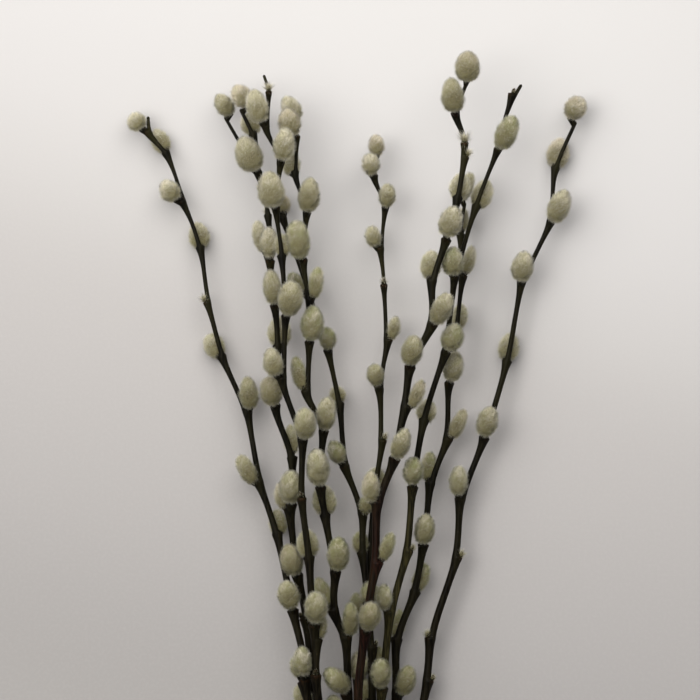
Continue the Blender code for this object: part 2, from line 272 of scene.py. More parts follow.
@dataclass(frozen=True)
class BarkFinish:
    """Willow bark: thin, smooth and satin, with long faint streaks and small raised pores.

    The masks of the mesh say where it is a scar, a fresh cut, pith, and how young the wood is. Sizes
    of patterns are in millimetres, and each pair says where a layer begins to show and where it shows most.
    """

    name: str = "smooth dark willow bark"
    shade: str = "#070502"
    light: str = "#1c180e"
    upper_shade: str = "#070603"
    upper_light: str = "#1b190f"
    young: str = "#22200f"
    pore: str = "#3e3728"
    scar: str = "#38200f"
    cut: str = "#cfc39c"
    pith: str = "#8a6a3f"
    streak: Triple = (0.9, 14.0, 0.9)
    mottle: Triple = (9.0, 26.0, 9.0)
    pore_step: Triple = (2.1, 4.2, 2.1)
    light_on: Pair = (0.35, 0.7)
    upper_on: Pair = (0.4, 0.6)
    young_on: Pair = (0.4, 0.7)
    pore_on: Pair = (0.17, 0.08)
    pore_field: Pair = (0.45, 0.6)
    pore_share: float = 0.55
    scar_on: Pair = (0.25, 0.75)
    roughness: Pair = (0.36, 0.58)
    specular: float = 0.07
    relief: float = 0.12

    def material(self) -> Material:
        """Dark bark that shows a soft light along its length, with pale pores and orange scars."""
        shades = Shades(self.name)
        scar, cut, pith, youth = shades.mask("bark")
        streak = shades.pattern("ShaderNodeTexNoise", self.streak, Detail=3.0)
        mottle = shades.pattern("ShaderNodeTexNoise", self.mottle, Detail=2.0)
        spots = shades.pattern("ShaderNodeTexVoronoi", self.pore_step)
        bands = shades.share(streak, self.light_on)
        upper = shades.lay(self.upper_shade, (bands, self.upper_light))
        pores = shades.share(spots, self.pore_on, self.pore_share, shades.share(mottle, self.pore_field))
        colour = shades.lay(
            self.shade,
            (bands, self.light),
            (shades.share(youth, self.upper_on), upper),
            (shades.share(mottle, self.young_on, mask=youth), self.young),
            (pores, self.pore),
            (shades.share(streak, self.scar_on, mask=scar), self.scar),
            (cut, self.cut),
            (pith, self.pith),
        )
        low, high = self.roughness
        roughness = shades.add("ShaderNodeMapRange", {"Value": streak, "To Min": low, "To Max": high})
        values = {"Roughness": roughness, "Specular IOR Level": self.specular}
        return shades.finish(colour, values, streak, self.relief)


@dataclass(frozen=True)
class CatkinFinish:
    """Willow catkin hair: silky, dense and matt, grey-green at its roots and cream at its tips.

    One attribute of the mesh gives the place along the catkin, the place along the hair, a random
    share for each hair and the painted shade, dark scale colour laid on the upward-facing hair. The
    other says how green, pink, pale and shaded the catkin is. Specks are larger than each real scale,
    which is too fine to show, and lie only within the painted shade.
    """

    name: str = "silky catkin hair"
    root: str = "#99936d"
    hair: str = "#f5efd5"
    tip: str = "#fffdf5"
    green: str = "#b4bd7c"
    pink: str = "#e4ccb6"
    pale: str = "#fdf9ea"
    shaded: str = "#aaa577"
    mossy: str = "#969b62"
    scales_and_painted_shade: str = "#5e5430"
    patch: Triple = (3.4, 4.2, 3.4)
    lump: Triple = (1.9, 2.3, 1.9)
    speck: Triple = (0.95, 1.05, 0.95)
    pink_on: Pair = (0.3, 0.62)
    green_on: Pair = (0.68, 0.36)
    pale_on: Pair = (0.42, 0.66)
    lump_on: Pair = (0.56, 0.4)
    speck_on: Pair = (0.44, 0.56)
    base_shade_on: Pair = (0.85, 0.12)
    tip_on: Pair = (0.4, 0.9)
    root_on: Pair = (0.6, 0.0)
    base_shade_share: float = 0.42
    dim_share: float = 0.55
    painted_shade_share: float = 0.58
    tip_share: float = 0.62
    lump_share: float = 0.5
    speck_share: float = 0.75
    brightness: Pair = (0.86, 1.12)
    through: float = 0.35

    def material(self) -> Material:
        """Hair with painted shade: dark scale colour on its upward-facing face, where the eye looks down
        into it, and the shaded tone towards the catkin's base.

        The shaded tone's share is base_shade_share at the catkin's base, as painted shade, plus dim_share
        of how shaded the catkin is.
        """
        shades = Shades(self.name)
        along, depth, chance, painted_shade = shades.mask("place")
        green, pink, pale, dim = shades.mask("coat")
        patch = shades.pattern("ShaderNodeTexNoise", self.patch, Detail=2.0)
        lump = shades.pattern("ShaderNodeTexNoise", self.lump, Detail=1.0)
        speck = shades.pattern("ShaderNodeTexNoise", self.speck, Detail=1.0)
        # Painted shade: the hair darkens towards the catkin's base, plus the catkin's own dullness
        base = shades.share(along, self.base_shade_on, self.base_shade_share)
        base_and_dim_shade = shades.add("ShaderNodeMath", {0: dim, 1: self.dim_share, 2: base}, operation="MULTIPLY_ADD")
        colour = shades.lay(
            self.hair,
            (shades.share(patch, self.pink_on, mask=pink), self.pink),
            (shades.share(patch, self.green_on, mask=green), self.green),
            (shades.share(patch, self.pale_on, mask=pale), self.pale),
            (base_and_dim_shade, self.shaded),
            # Painted shade: dark scale colour on the upward-facing hair
            (shades.add("ShaderNodeMath", {0: painted_shade, 1: self.painted_shade_share}, operation="MULTIPLY"), self.scales_and_painted_shade),
            (shades.share(depth, self.tip_on, self.tip_share), self.tip),
            (shades.share(lump, self.lump_on, self.lump_share, green), self.mossy),
            # Dark specks, laid only where the painted shade lies
            (shades.share(speck, self.speck_on, self.speck_share, painted_shade), self.scales_and_painted_shade),
            (shades.share(depth, self.root_on), self.root),
        )
        low, high = self.brightness
        bright = shades.add("ShaderNodeMapRange", {"Value": chance, "To Min": low, "To Max": high})
        colour = shades.add("ShaderNodeHueSaturation", {"Value": bright, "Color": colour})
        values = {"Roughness": 0.85, "Specular IOR Level": 0.15, "Sheen Weight": 1.0, "Sheen Roughness": 0.5}
        return shades.finish(colour, values, through=self.through)


@dataclass(frozen=True)
class TwineFinish:
    """Jute twine: dry, matt, straw-brown fibre, twisted from two plies."""

    name: str = "two-ply jute twine"
    shade: str = "#7d6340"
    light: str = "#c8ab7c"
    fibre: Triple = (0.35, 0.35, 0.9)
    light_on: Pair = (0.3, 0.7)
    relief: float = 0.15

    def material(self) -> Material:
        """Fine light and dark fibres with no shine."""
        shades = Shades(self.name)
        fibre = shades.pattern("ShaderNodeTexNoise", self.fibre, Detail=4.0)
        colour = shades.lay(self.shade, (shades.share(fibre, self.light_on), self.light))
        return shades.finish(colour, {"Roughness": 0.9, "Specular IOR Level": 0.2}, fibre, self.relief)


@dataclass(frozen=True)
class PaperFinish:
    """Matt studio paper with painted light and shade: pale beyond the tips and greyer towards the feet, with
    a faint tooth.
    """

    name: str = "studio paper with painted light and shade"
    # Painted light and shade: tones of the floor along y, standing in for the lamps' fall-off
    painted_light_fade: tuple[tuple[float, str], ...] = (
        (-400.0, "#dddbda"), (-120.0, "#c0bebd"), (60.0, "#afadac"), (117.0, "#b1afaf"),
        (160.0, "#b6b4b4"), (200.0, "#b8b6b6"), (245.0, "#bcbaba"), (285.0, "#bebcbc"),
        (325.0, "#c7c6c6"), (370.0, "#cdcccd"), (452.0, "#d1d1d2"), (900.0, "#cfcece"),
    )
    slant: float = 0.3
    across: Pair = (-280.0, 280.0)
    painted_light_gain: Pair = (0.95, 1.07)
    tooth_shade: str = "#cfcecd"
    tooth: Triple = (1.6, 1.6, 1.6)
    tooth_on: Pair = (0.6, 0.3)
    tooth_share: float = 0.08
    relief: float = 0.03

    def material(self) -> Material:
        """Painted light and shade: a smooth run of tones along y, a little slanted, from tone to tone at
        places in millimetres.

        It also lightens a little to the right, between two given shares, as painted light.
        """
        shades = Shades(self.name)
        tooth = shades.pattern("ShaderNodeTexNoise", self.tooth, Detail=3.0)
        here = shades.add("ShaderNodeTexCoord", {}, "Object")
        x, y, _ = add_node(shades.tree, "ShaderNodeSeparateXYZ", {0: here}).outputs
        along = shades.add("ShaderNodeMath", {0: x, 1: self.slant, 2: y}, operation="MULTIPLY_ADD")
        low, high = self.painted_light_fade[0][0], self.painted_light_fade[-1][0]
        place = {"Value": along, "From Min": low * MM, "From Max": high * MM}
        ramp = add_node(shades.tree, "ShaderNodeValToRGB", {0: shades.add("ShaderNodeMapRange", place)})
        ramp.color_ramp.interpolation = "B_SPLINE"
        stops = ramp.color_ramp.elements
        for spot, _ in self.painted_light_fade[1:-1]:
            stops.new((spot - low) / (high - low))
        for stop, (_, tone) in zip(stops, self.painted_light_fade):
            stop.color = linear(tone)
        tooth_share = shades.share(tooth, self.tooth_on, self.tooth_share)
        colour = shades.lay(ramp.outputs[0], (tooth_share, self.tooth_shade))
        # Painted light: the floor is a little lighter to the right
        left, right = self.across
        spread = {"Value": x, "From Min": left * MM, "From Max": right * MM}
        spread["To Min"], spread["To Max"] = self.painted_light_gain
        painted_light_gain = shades.add("ShaderNodeMapRange", spread, interpolation_type="SMOOTHSTEP")
        colour = shades.add("ShaderNodeHueSaturation", {"Value": painted_light_gain, "Color": colour})
        return shades.finish(colour, {"Roughness": 0.95, "Specular IOR Level": 0.1}, tooth, self.relief)


@dataclass
class Surface:
    """A part of a mesh: its points, its triangles, and the masks that its material reads at each point.

    Hair has normals of its own, those of the body that it grows on, so that fur shades as one soft form.
    """

    points: Array
    faces: Array
    masks: dict[str, Array]
    normals: Array | None = None


def grid_faces(rows: int, sides: int) -> Array:
    """Triangles of a closed tube of points: two for each cell, round and round, then a fan at each pole.

    Point (row, side) has number row * sides + side, and the poles come last, first the lower one.

    Args:
        rows: Number of rings.
        sides: Number of points in a ring.

    Returns:
        Point numbers, three a triangle, with their faces out.
    """
    row, side = np.meshgrid(np.arange(rows - 1), np.arange(sides), indexing="ij")
    after = (side + 1) % sides
    here, beside = row * sides + side, row * sides + after
    above, across = here + sides, beside + sides
    cells = np.stack([here, above, across, here, across, beside], -1).reshape(-1, 3)
    ring = np.arange(sides)
    turn = (ring + 1) % sides
    last = (rows - 1) * sides
    bottom = np.stack([np.full(sides, rows * sides), ring, turn], -1)
    top = np.stack([np.full(sides, rows * sides + 1), last + turn, last + ring], -1)
    return np.concatenate([cells, bottom, top])


def closed_tube(rings: Array, bottom: Array, top: Array, masks: dict[str, Array]) -> Surface:
    """Tube through rings of points that ends in a pole at each end.

    Args:
        rings: Points by ring and side.
        bottom: Lower pole.
        top: Upper pole.
        masks: Four values for each ring and side, by attribute name. A pole takes its ring's first.

    Returns:
        The closed surface.
    """
    rows, sides, _ = rings.shape
    points = np.concatenate([rings.reshape(-1, 3), bottom[None], top[None]])
    ends = {name: np.stack([values[0, 0], values[-1, 0]]) for name, values in masks.items()}
    flat = {name: np.concatenate([values.reshape(-1, 4), ends[name]]) for name, values in masks.items()}
    return Surface(points, grid_faces(rows, sides), flat)


def unit(vectors: Array) -> Array:
    """Vectors of length 1 with the same directions."""
    return vectors / np.maximum(np.linalg.norm(vectors, axis=-1, keepdims=True), 1e-12)


def smooth_through(knots: Knots, y: Array) -> Array:
    """Smooth curve through (place, value) knots: a cubic in each span, with slopes from the chords beside it.

    A knot's slope is the mean of its two chords, each weighted by the other's span, and 0 at a turn.

    Args:
        knots: Places and values, in order of place.
        y: Places where the curve is wanted.

    Returns:
        Values at those places.
    """
    places, values = np.array(knots, float).T
    spans = np.diff(places)
    chords = np.diff(values) / spans
    slopes = np.empty(len(places))
    slopes[0], slopes[-1] = chords[0], chords[-1]
    slopes[1:-1] = (chords[:-1] * spans[1:] + chords[1:] * spans[:-1]) / (spans[1:] + spans[:-1])
    slopes[1:-1][chords[:-1] * chords[1:] <= 0] = 0.0
    index = np.clip(np.searchsorted(places, y) - 1, 0, len(spans) - 1)
    span = spans[index]
    t = (y - places[index]) / span
    return (
        (2 * t**3 - 3 * t**2 + 1) * values[index]
        + (t**3 - 2 * t**2 + t) * span * slopes[index]
        + (3 * t**2 - 2 * t**3) * values[index + 1]
        + (t**3 - t**2) * span * slopes[index + 1]
    )


def make_piece(name: str, surfaces: list[Surface], material: Material, node: str) -> None:
    """Make one object of several surfaces, which rides on the root body and hides a node's part in its place.

    Args:
        name: Name of the object.
        surfaces: Its surfaces, in millimetres.
        material: Its material.
        node: Node whose part it hides.
    """
    starts = np.cumsum([0] + [len(surface.points) for surface in surfaces[:-1]])
    points = np.concatenate([surface.points for surface in surfaces]) * MM
    faces = np.concatenate([surface.faces + start for surface, start in zip(surfaces, starts)])
    mesh = bpy.data.meshes.new(name)
    mesh.vertices.add(len(points))
    mesh.vertices.foreach_set("co", points.astype(np.float32).ravel())
    mesh.loops.add(faces.size)
    mesh.loops.foreach_set("vertex_index", faces.astype(np.int32).ravel())
    mesh.polygons.add(len(faces))
    mesh.polygons.foreach_set("loop_start", np.arange(0, faces.size, 3, dtype=np.int32))
    mesh.polygons.foreach_set("use_smooth", np.ones(len(faces), bool))
    for mask in surfaces[0].masks:
        values = np.concatenate([surface.masks[mask] for surface in surfaces])
        layer = mesh.attributes.new(mask, "FLOAT_COLOR", "POINT")
        layer.data.foreach_set("color", values.astype(np.float32).ravel())
    mesh.materials.append(material)
    mesh.update(calc_edges=True)
    mesh.validate()
    if any(surface.normals is not None for surface in surfaces):
        own = [surface.points * 0 if surface.normals is None else surface.normals for surface in surfaces]
        mesh.normals_split_custom_set_from_vertices(np.concatenate(own).tolist())
    piece = bpy.data.objects.new(name, mesh)
    bpy.context.scene.collection.objects.link(piece)
    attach(piece, "root")
    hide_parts(node)
    LOG.info("%s: %d triangles for %s", name, len(faces), node)


@dataclass(frozen=True)
class Bundle:
    """How the stems lie in the tie: three rows of a honeycomb, one tie's wall above the floor."""

    pitch: float = 5.55
    stem_radius: float = 2.6
    clearance: float = 0.3
    corner: float = 1 / math.cos(math.pi / 6)
    wall: float = 1.6
    samples: int = 24
    run: float = 9.0
    foot_spread: float = 1.25
    corners: tuple[tuple[float, int], ...] = ((-1.0, 0), (1.0, 0), (1.5, 1), (1.0, 2), (-1.0, 2), (-1.5, 1))

    @property
    def inside(self) -> float:
        """Distance from the outer stems' centre lines to the inside of the tie."""
        return self.stem_radius * self.corner + self.clearance

    def height(self, row: float) -> float:
        """Height of a row of stems above the floor."""
        lowest = (self.inside + self.wall) * math.cos(math.pi / self.samples)
        return lowest + row * self.pitch * math.sin(math.radians(60))


BUNDLE = Bundle()


@dataclass(frozen=True)
class Fur:
    """Hair of one kind: its size, its lean from the skin in degrees, and how much single hairs differ.

    A range is the least share, and how much a random number or a place adds to it. The first hairs, up to
    backward's first share of the length, point backwards in its second share of cases.
    """

    length: float = 2.3
    width: float = 0.15
    lean: Pair = (50.0, 66.0)
    lean_from: float = 0.55
    lean_power: float = 1.5
    lean_range: Pair = (0.75, 0.5)
    place_range: Pair = (0.75, 0.25)
    place_power: float = 0.8
    length_range: Pair = (0.5, 0.9)
    length_wave: float = 0.08
    backward: Pair = (0.16, 0.45)
    wander: float = 0.3
    wander_wave: float = 0.08
    clumped: float = 0.4
    twist: float = 0.9
    sky: float = 1.4
    grain: float = 0.11


@dataclass
class Growth:
    """One catkin or bare bud: where it sits, which way it points, its outline and its coat.

    Waves and the crease shape its outline. The painted shade is dark scale colour laid on the
    upward-facing hair, up to painted_shade_end of the length and fading over painted_shade_fade. The
    last fields say how the height on the stem and tone change the coat.
    """

    base: Array
    axis: Array
    outer: Array
    length: float
    width: float
    coat: Coat
    form: Form
    phases: Array
    tone: float = 0.0
    belly: float = 0.85
    lumps: float = 0.02
    least: float = 0.2
    full_width: float = 9.0
    skin_depth: float = 1.2
    waves_round: Triple = (2, 3, 5)
    waves_along: Triple = (1.7, 3.9, 6.1)
    wave_gain: float = 0.75
    crease_place: Pair = (0.45, 0.14)
    crease_half: float = 0.13
    crease_side: float = 1.1
    painted_shade_end: float = 0.86
    painted_shade_fade: float = 0.52
    painted_shade_power: float = 2.8
    painted_shade_tone: float = 0.4
    height_span: Pair = (330.0, 110.0)
    low_green: float = 0.6
    low_dim: float = 0.6
    low_pale: float = 0.3
    high_pale: float = 0.45
    light_pale: float = 0.4
    light_dim: float = 0.7
    dark_dim: float = 0.9

    def __post_init__(self) -> None:
        """Set the two directions across the axis."""
        self.depth = unit(self.outer - self.axis * (self.outer @ self.axis))
        self.across = unit(np.cross(self.axis, self.outer))

    @property
    def fullness(self) -> float:
        """Share of full size of what it grows: 1, or less for a catkin narrower than full_width."""
        return min(1.0, self.width / self.full_width)

    @property
    def skin(self) -> float:
        """Depth of the body, which the hair roots in, under the outline."""
        return self.skin_depth * self.fullness

    def swirl(self, t: Array, angle: Array, which: int) -> Array:
        """Smooth unevenness from about -1 to 1: three waves round and along the catkin, at its own phases."""
        round_it, along_it = np.array(self.waves_round), np.array(self.waves_along)
        waves = round_it * angle[..., None] + np.pi * along_it * t[..., None]
        return self.wave_gain * np.sin(waves + self.phases[which]).sum(-1)

    def reach(self, t: Array, angle: Array, inset: float = 0.0) -> Array:
        """Radius at a share t of the length and an angle: half the width times a skewed sine to a power.

        A crease is a shallow groove round the middle, on the side that faces out.
        """
        skew, fullness, crease = self.form.value
        swell = np.sin(np.pi * np.clip(t, 0.0, 1.0) ** skew).clip(0.0, 1.0) ** fullness
        middle, tilt = self.crease_place
        away = (t - middle - tilt * np.cos(angle + self.phases[0, 0])) / self.crease_half
        groove = 1 - crease * np.exp(-(away**2)) * np.clip(np.cos(angle - self.crease_side), 0.0, 1.0)
        uneven = 1 + self.lumps * self.swirl(t, angle, 0)
        return np.maximum(self.width / 2 - inset, self.least) * swell * groove * uneven

    def spots(self, t: Array, angle: Array, inset: float = 0.0) -> Array:
        """Points of the surface: base + axis * length * t + the direction at the angle * reach.

        The side towards the stem is flatter, by the belly share.
        """
        flat = np.where(np.sin(angle) < 0, self.belly, 1.0)
        out = np.cos(angle)[..., None] * self.across + (np.sin(angle) * flat)[..., None] * self.depth
        high = (inset + (self.length - 2 * inset) * t)[..., None]
        return self.base + self.axis * high + out * self.reach(t, angle, inset)[..., None]

    def slopes(self, t: Array, angle: Array) -> tuple[Array, Array]:
        """Unit normal, and unit direction towards the tip along the surface, from small differences."""
        step, twist, end = 0.02, 0.05, 0.004
        low, high = np.clip(t - step, end, 1 - end), np.clip(t + step, end, 1 - end)
        ahead = unit(self.spots(high, angle) - self.spots(low, angle))
        beside = self.spots(t, angle + twist) - self.spots(t, angle - twist)
        return unit(np.cross(ahead, beside)), ahead

    def painted_shade(self, t: Array, normal: Array) -> Array:
        """Painted shade: how far dark scale colour is laid on the hair, most on the upward-facing face,
        below the tip, where the eye looks down into the fur.

        The normal's rise to a power, times a smooth fall from 1 below the middle to 0 short of the tip, and
        less where the catkin's tone is paler.
        """
        fall = np.clip((self.painted_shade_end - t) / self.painted_shade_fade, 0.0, 1.0)
        upper = np.clip(normal[..., 2], 0.0, 1.0) ** self.painted_shade_power
        return upper * fall * fall * (3 - 2 * fall) * (1 - self.painted_shade_tone * self.tone)

    def coats(self, count: int) -> Array:
        """The coat mask, the same at each of a number of points.

        By a straight line in y, catkins low on the stems are greener and duller, darker towards the feet, and
        those high up paler.
        """
        high, low = self.height_span
        lowness = float(np.clip((high - self.base[1]) / (high - low), 0.0, 1.0))
        green, pink, pale, dim = self.coat.value
        light, dark = max(self.tone, 0.0), max(-self.tone, 0.0)
        green += self.low_green * lowness
        pale += self.high_pale * (1 - lowness) - self.low_pale * pale * lowness + self.light_pale * light
        dim = (dim + self.low_dim * lowness) * (1 - self.light_dim * light) + self.dark_dim * dark
        return np.tile(np.clip([green, pink, pale, dim], 0.0, 1.0), (count, 1))

    def core(self, rows: int, sides: int, inset: float) -> Surface:
        """The body under the hair: the surface itself, drawn in by the inset, closed at both poles.

        Args:
            rows: Number of rings.
            sides: Points in a ring.
            inset: How far it lies under the outline.

        Returns:
            The closed body.
        """
        share = 0.5 - 0.5 * np.cos(np.pi * (np.arange(rows) + 0.5) / rows)
        turn = 2 * np.pi * np.arange(sides) / sides
        t, angle = np.meshgrid(share, turn, indexing="ij")
        zero = np.zeros_like(t)
        place = np.stack([t, zero, zero + 0.5, zero], -1)
        masks = {"place": place, "coat": self.coats(t.size).reshape(*t.shape, 4)}
        low, high = self.base + self.axis * inset, self.base + self.axis * (self.length - inset)
        return closed_tube(self.spots(t, angle, inset), low, high, masks)

    def hairs(self, count: int, fur: Fur, draw: np.random.Generator) -> Surface:
        """Hairs over the surface, each one thin triangle from its root to its tip.

        Roots are spread evenly over the area. A hair leans from the surface by an angle that grows
        towards the catkin's tip, and wanders a little to either side.

        Args:
            count: Number of hairs.
            fur: Their size, lean and spread.
            draw: Source of random numbers.

        Returns:
            The open triangles of all hairs, which shade as the body does, turned a little to the sky.
        """
        end, steps = 0.03, 160
        table = 0.5 - 0.5 * np.cos(np.linspace(end, np.pi - end, steps))
        profile = self.reach(table, np.zeros_like(table))
        area = np.cumsum(profile * np.hypot(self.length * np.gradient(table), np.gradient(profile)))
        t = np.interp(draw.random(count), area / area[-1], table)
        angle = 2 * np.pi * draw.random(count)
        clump = np.clip(0.5 + 0.5 * self.swirl(t, angle, 1), 0, 1)
        chance = (1 - fur.clumped) * draw.random(count) + fur.clumped * clump
        root = self.spots(t, angle, self.skin)
        normal, ahead = self.slopes(t, angle)
        sideways = np.cross(normal, ahead)
        late = np.clip((t - fur.lean_from) / (1 - fur.lean_from), 0, 1) ** fur.lean_power
        rise = np.radians(fur.lean[0] + (fur.lean[1] - fur.lean[0]) * late)
        rise = rise * (fur.lean_range[0] + fur.lean_range[1] * draw.random(count))
        wander = fur.wander * draw.standard_normal(count) + fur.wander_wave * self.swirl(t, angle, 2)
        first, often = fur.backward
        back = np.where((t < first) & (draw.random(count) < often), -1.0, 1.0)
        forward = ahead * (np.cos(rise) * back)[:, None]
        way = unit(forward + normal * np.sin(rise)[:, None] + sideways * wander[:, None])
        long = fur.length * (fur.place_range[0] + fur.place_range[1] * np.sin(np.pi * t**fur.place_power))
        long = long * (fur.length_range[0] + fur.length_range[1] * draw.random(count))
        long = long * (1 + fur.length_wave * self.swirl(t, angle, 1))
        twist = fur.twist * draw.standard_normal(count)
        flat = unit(unit(np.cross(way, normal)) + normal * twist[:, None])
        half = flat * (fur.width / 2)
        corners = np.stack([root - half, root + half, root + way * long[:, None]], 1)
        corners[..., 2] = np.maximum(corners[..., 2], FLOOR_GAP)
        hair = np.tile([0.0, 0.0, 1.0], (count, 1))
        # The fourth mask is painted shade on the upward-facing hair
        share, luck, painted_shade = (np.repeat(value[:, None], 3, 1) for value in (t, chance, self.painted_shade(t, normal)))
        place = np.stack([share, hair, luck, painted_shade], -1).reshape(-1, 4)
        faces = np.arange(3 * count).reshape(-1, 3)
        glow = normal + [0.0, 0.0, fur.sky] + fur.grain * draw.standard_normal((count, 3))
        masks = {"place": place, "coat": self.coats(3 * count)}
        return Surface(corners.reshape(-1, 3), faces, masks, np.repeat(unit(glow), 3, 0))


@dataclass(frozen=True)
class Collar:
    """The stalk and bud scale under a catkin: its radii at shares of its length.

    It starts a drop below the joint, part of the way out to the bark, and ends inside the fur. Its
    rim is a scar from one share of its length to another, and its ends stand out as blunt points.
    """

    shares: tuple[float, ...] = (0.0, 0.25, 0.5, 0.72, 0.9, 1.0)
    radii: tuple[float, ...] = (0.9, 1.25, 1.6, 1.95, 2.15, 1.8)
    sides: int = 10
    drop: float = 3.0
    tip_drop: float = 2.0
    outwards: float = 0.5
    into_fur: float = 0.12
    rim: Pair = (0.8, 0.2)
    rim_scar: float = 0.35
    youth: float = 0.5
    points: Pair = (0.4, 0.3)


@dataclass
class Stem:
    """One willow stem: its way through the tie, its bark with shoulders and scars, and its catkins.

    Knuckle is the height and reach of the swelling all round a joint. A scar has a place and half a
    height, and shows from one share of facing the joint's side, over another. Ridges are given by
    height, number and twist, and caps by the radii of the closing rings at both ends.
    """

    name: str
    slot: tuple[float, int]
    foot: float
    tip_radius: float
    taper: float
    heights: Knots
    joints: tuple[Joint, ...]
    bends: Knots = ()
    bark: Bark = Bark.DARK
    foot_flare: float = 0.1
    roundness: float = 0.94
    ring_step: float = 4.0
    bark_sides: int = 14
    shoulder: float = 2.3
    shoulder_run: float = 15.0
    ledge: float = 1.2
    lean: float = 15.0
    belly_gap: float = 0.1
    belly: float = 0.85
    bud_size: Pair = (3.6, 2.4)
    bud_youth: float = 0.6
    bud_scar: float = 0.6
    bud_rings: tuple[int, int] = (7, 8)
    catkin_rings: tuple[int, int] = (12, 18)
    tuft_hairs: int = 420
    tuft_length: float = 4.4
    tuft_width: float = 0.16
    stripped: Pair = (-62.0, 96.0)
    stripped_step: Pair = (17.0, 26.0)
    tie_half: float = 12.0
    cut_slope: float = 0.45
    cut_side: float = 0.7
    cut_run: float = 5.0
    hair_density: float = 17.5
    shoulder_power: float = 2.2
    facing_power: float = 1.4
    knuckle: Pair = (0.2, 2.5)
    bare_share: float = 0.7
    stripped_shoulder: float = 0.75
    scar_place: Pair = (0.2, 0.9)
    scar_side: Pair = (0.78, 0.2)
    scar_share: float = 0.7
    ridges: Triple = (0.035, 5, 0.02)
    caps: Triple = (0.96, 0.72, 0.3)
    pith_cap: float = 0.5
    dome: Pair = (0.8, 0.2)
    near_rings: tuple[float, ...] = (-11, -8, -6, -4.4, -3.1, -2.1, -1.3, -0.6, 0.0, 0.45, 0.9, 1.3, 2.2)
    ring_gap: float = 0.25
    collar_form: Collar = Collar()

    def __post_init__(self) -> None:
        """Lay out the centre line as the solid model does, and draw the stripped joints near the foot."""
        spot_x, spot_z = self.slot[0] * BUNDLE.pitch, BUNDLE.height(self.slot[1])
        places = {(joint.y, joint.x) for joint in self.joints} | {(y, x) for x, y in self.bends}
        straight = ((self.foot, spot_x * BUNDLE.foot_spread), (-BUNDLE.run, spot_x), (BUNDLE.run, spot_x))
        self.across = (*straight, *sorted(places))
        self.up = ((self.foot, spot_z), (-BUNDLE.run, spot_z), (BUNDLE.run, spot_z), *self.heights)
        self.tip = self.joints[0].y
        self.draw = np.random.default_rng(SEED + int(self.name[-2:]))
        self.scars = self.stripped_joints()

    def stripped_joints(self) -> list[Pair]:
        """Joints below the catkins that were stripped: (y, side) at uneven steps, clear of the tie."""
        count, below, swing = 12, 4, 60
        lowest = min(joint.y for joint in self.joints)
        steps = np.cumsum(self.draw.uniform(*self.stripped_step, count))
        sides = 180.0 * (np.arange(count) % 2) + self.draw.uniform(-swing, swing, count)
        places = min(lowest - below, self.stripped[1]) - steps
        keep = (places > self.stripped[0]) & (np.abs(places) > self.tie_half)
        return list(zip(places[keep].tolist(), sides[keep].tolist()))

    def centre(self, y: Array) -> Array:
        """Points of the centre line: x and z are smooth curves of y."""
        return np.stack([smooth_through(self.across, y), y, smooth_through(self.up, y)], -1)

    def frame(self, y: Array) -> tuple[Array, Array, Array]:
        """Unit directions at y: along the stem, to its right and up from it."""
        along = unit(self.centre(y + 0.5) - self.centre(y - 0.5))
        right = unit(np.cross(along, [0.0, 0.0, 1.0]))
        return along, right, np.cross(right, along)

    def radius(self, y: Array) -> Array:
        """Radius of the wood: it thins from the tie to the tip by a power, and widens to the foot."""
        way = np.clip((self.tip - y) / self.tip, 0.0, 1.0) ** self.taper
        thin = self.tip_radius + (BUNDLE.stem_radius - self.tip_radius) * way
        return np.where(y <= 0, BUNDLE.stem_radius + self.foot_flare * y / self.foot, thin)

    def nodes(self) -> Array:
        """Every joint but the tip's, as rows of y, side and how far its shoulder stands out."""
        shares = [1.0 if joint.length else self.bare_share for joint in self.joints[1:]]
        grown = [(j.y, j.side, self.shoulder * j.swell * share) for j, share in zip(self.joints[1:], shares)]
        return np.array(grown + [(y, side, self.stripped_shoulder) for y, side in self.scars])

    def rise(self, y: Array, angle: Array) -> tuple[Array, Array]:
        """How far the wood stands out at each ring and side, and how much of it is a scar.

        Under a joint the shoulder swells as a square of the way to it, then ends in a short ledge.
        It faces the joint's side, by a raised cosine to a power. A scar is a small oval on the ledge.
        """
        spots = self.nodes()
        below = spots[:, 0, None, None] - y
        facing = 0.5 + 0.5 * np.cos(angle - np.radians(spots[:, 1, None, None]))
        slope = np.clip(1 - below / self.shoulder_run, 0, 1) ** self.shoulder_power * (below >= 0)
        slope = slope + np.clip(1 + below / self.ledge, 0, 1) * (below < 0)
        height, reach = self.knuckle
        swell = spots[:, 2, None, None] * slope * facing**self.facing_power
        swell = swell + height * np.exp(-((below / reach) ** 2))
        (place, half), (start, edge) = self.scar_place, self.scar_side
        scar = np.exp(-(((below - place) / half) ** 2)) * np.clip((facing - start) / edge, 0, 1)
        return swell.max(0), scar.max(0)

    def rings(self) -> Array:
        """Places of the rings: an even run, and closer ones about every joint."""
        even = np.arange(self.foot, self.tip, self.ring_step)
        near = (self.nodes()[:, 0, None] + np.array(self.near_rings)).ravel()
        all_places = np.unique(np.concatenate([even, near, [self.tip]]))
        all_places = all_places[(all_places >= self.foot) & (all_places <= self.tip)]
        keep = np.concatenate([[True], np.diff(all_places) > self.ring_gap])
        return all_places[keep]

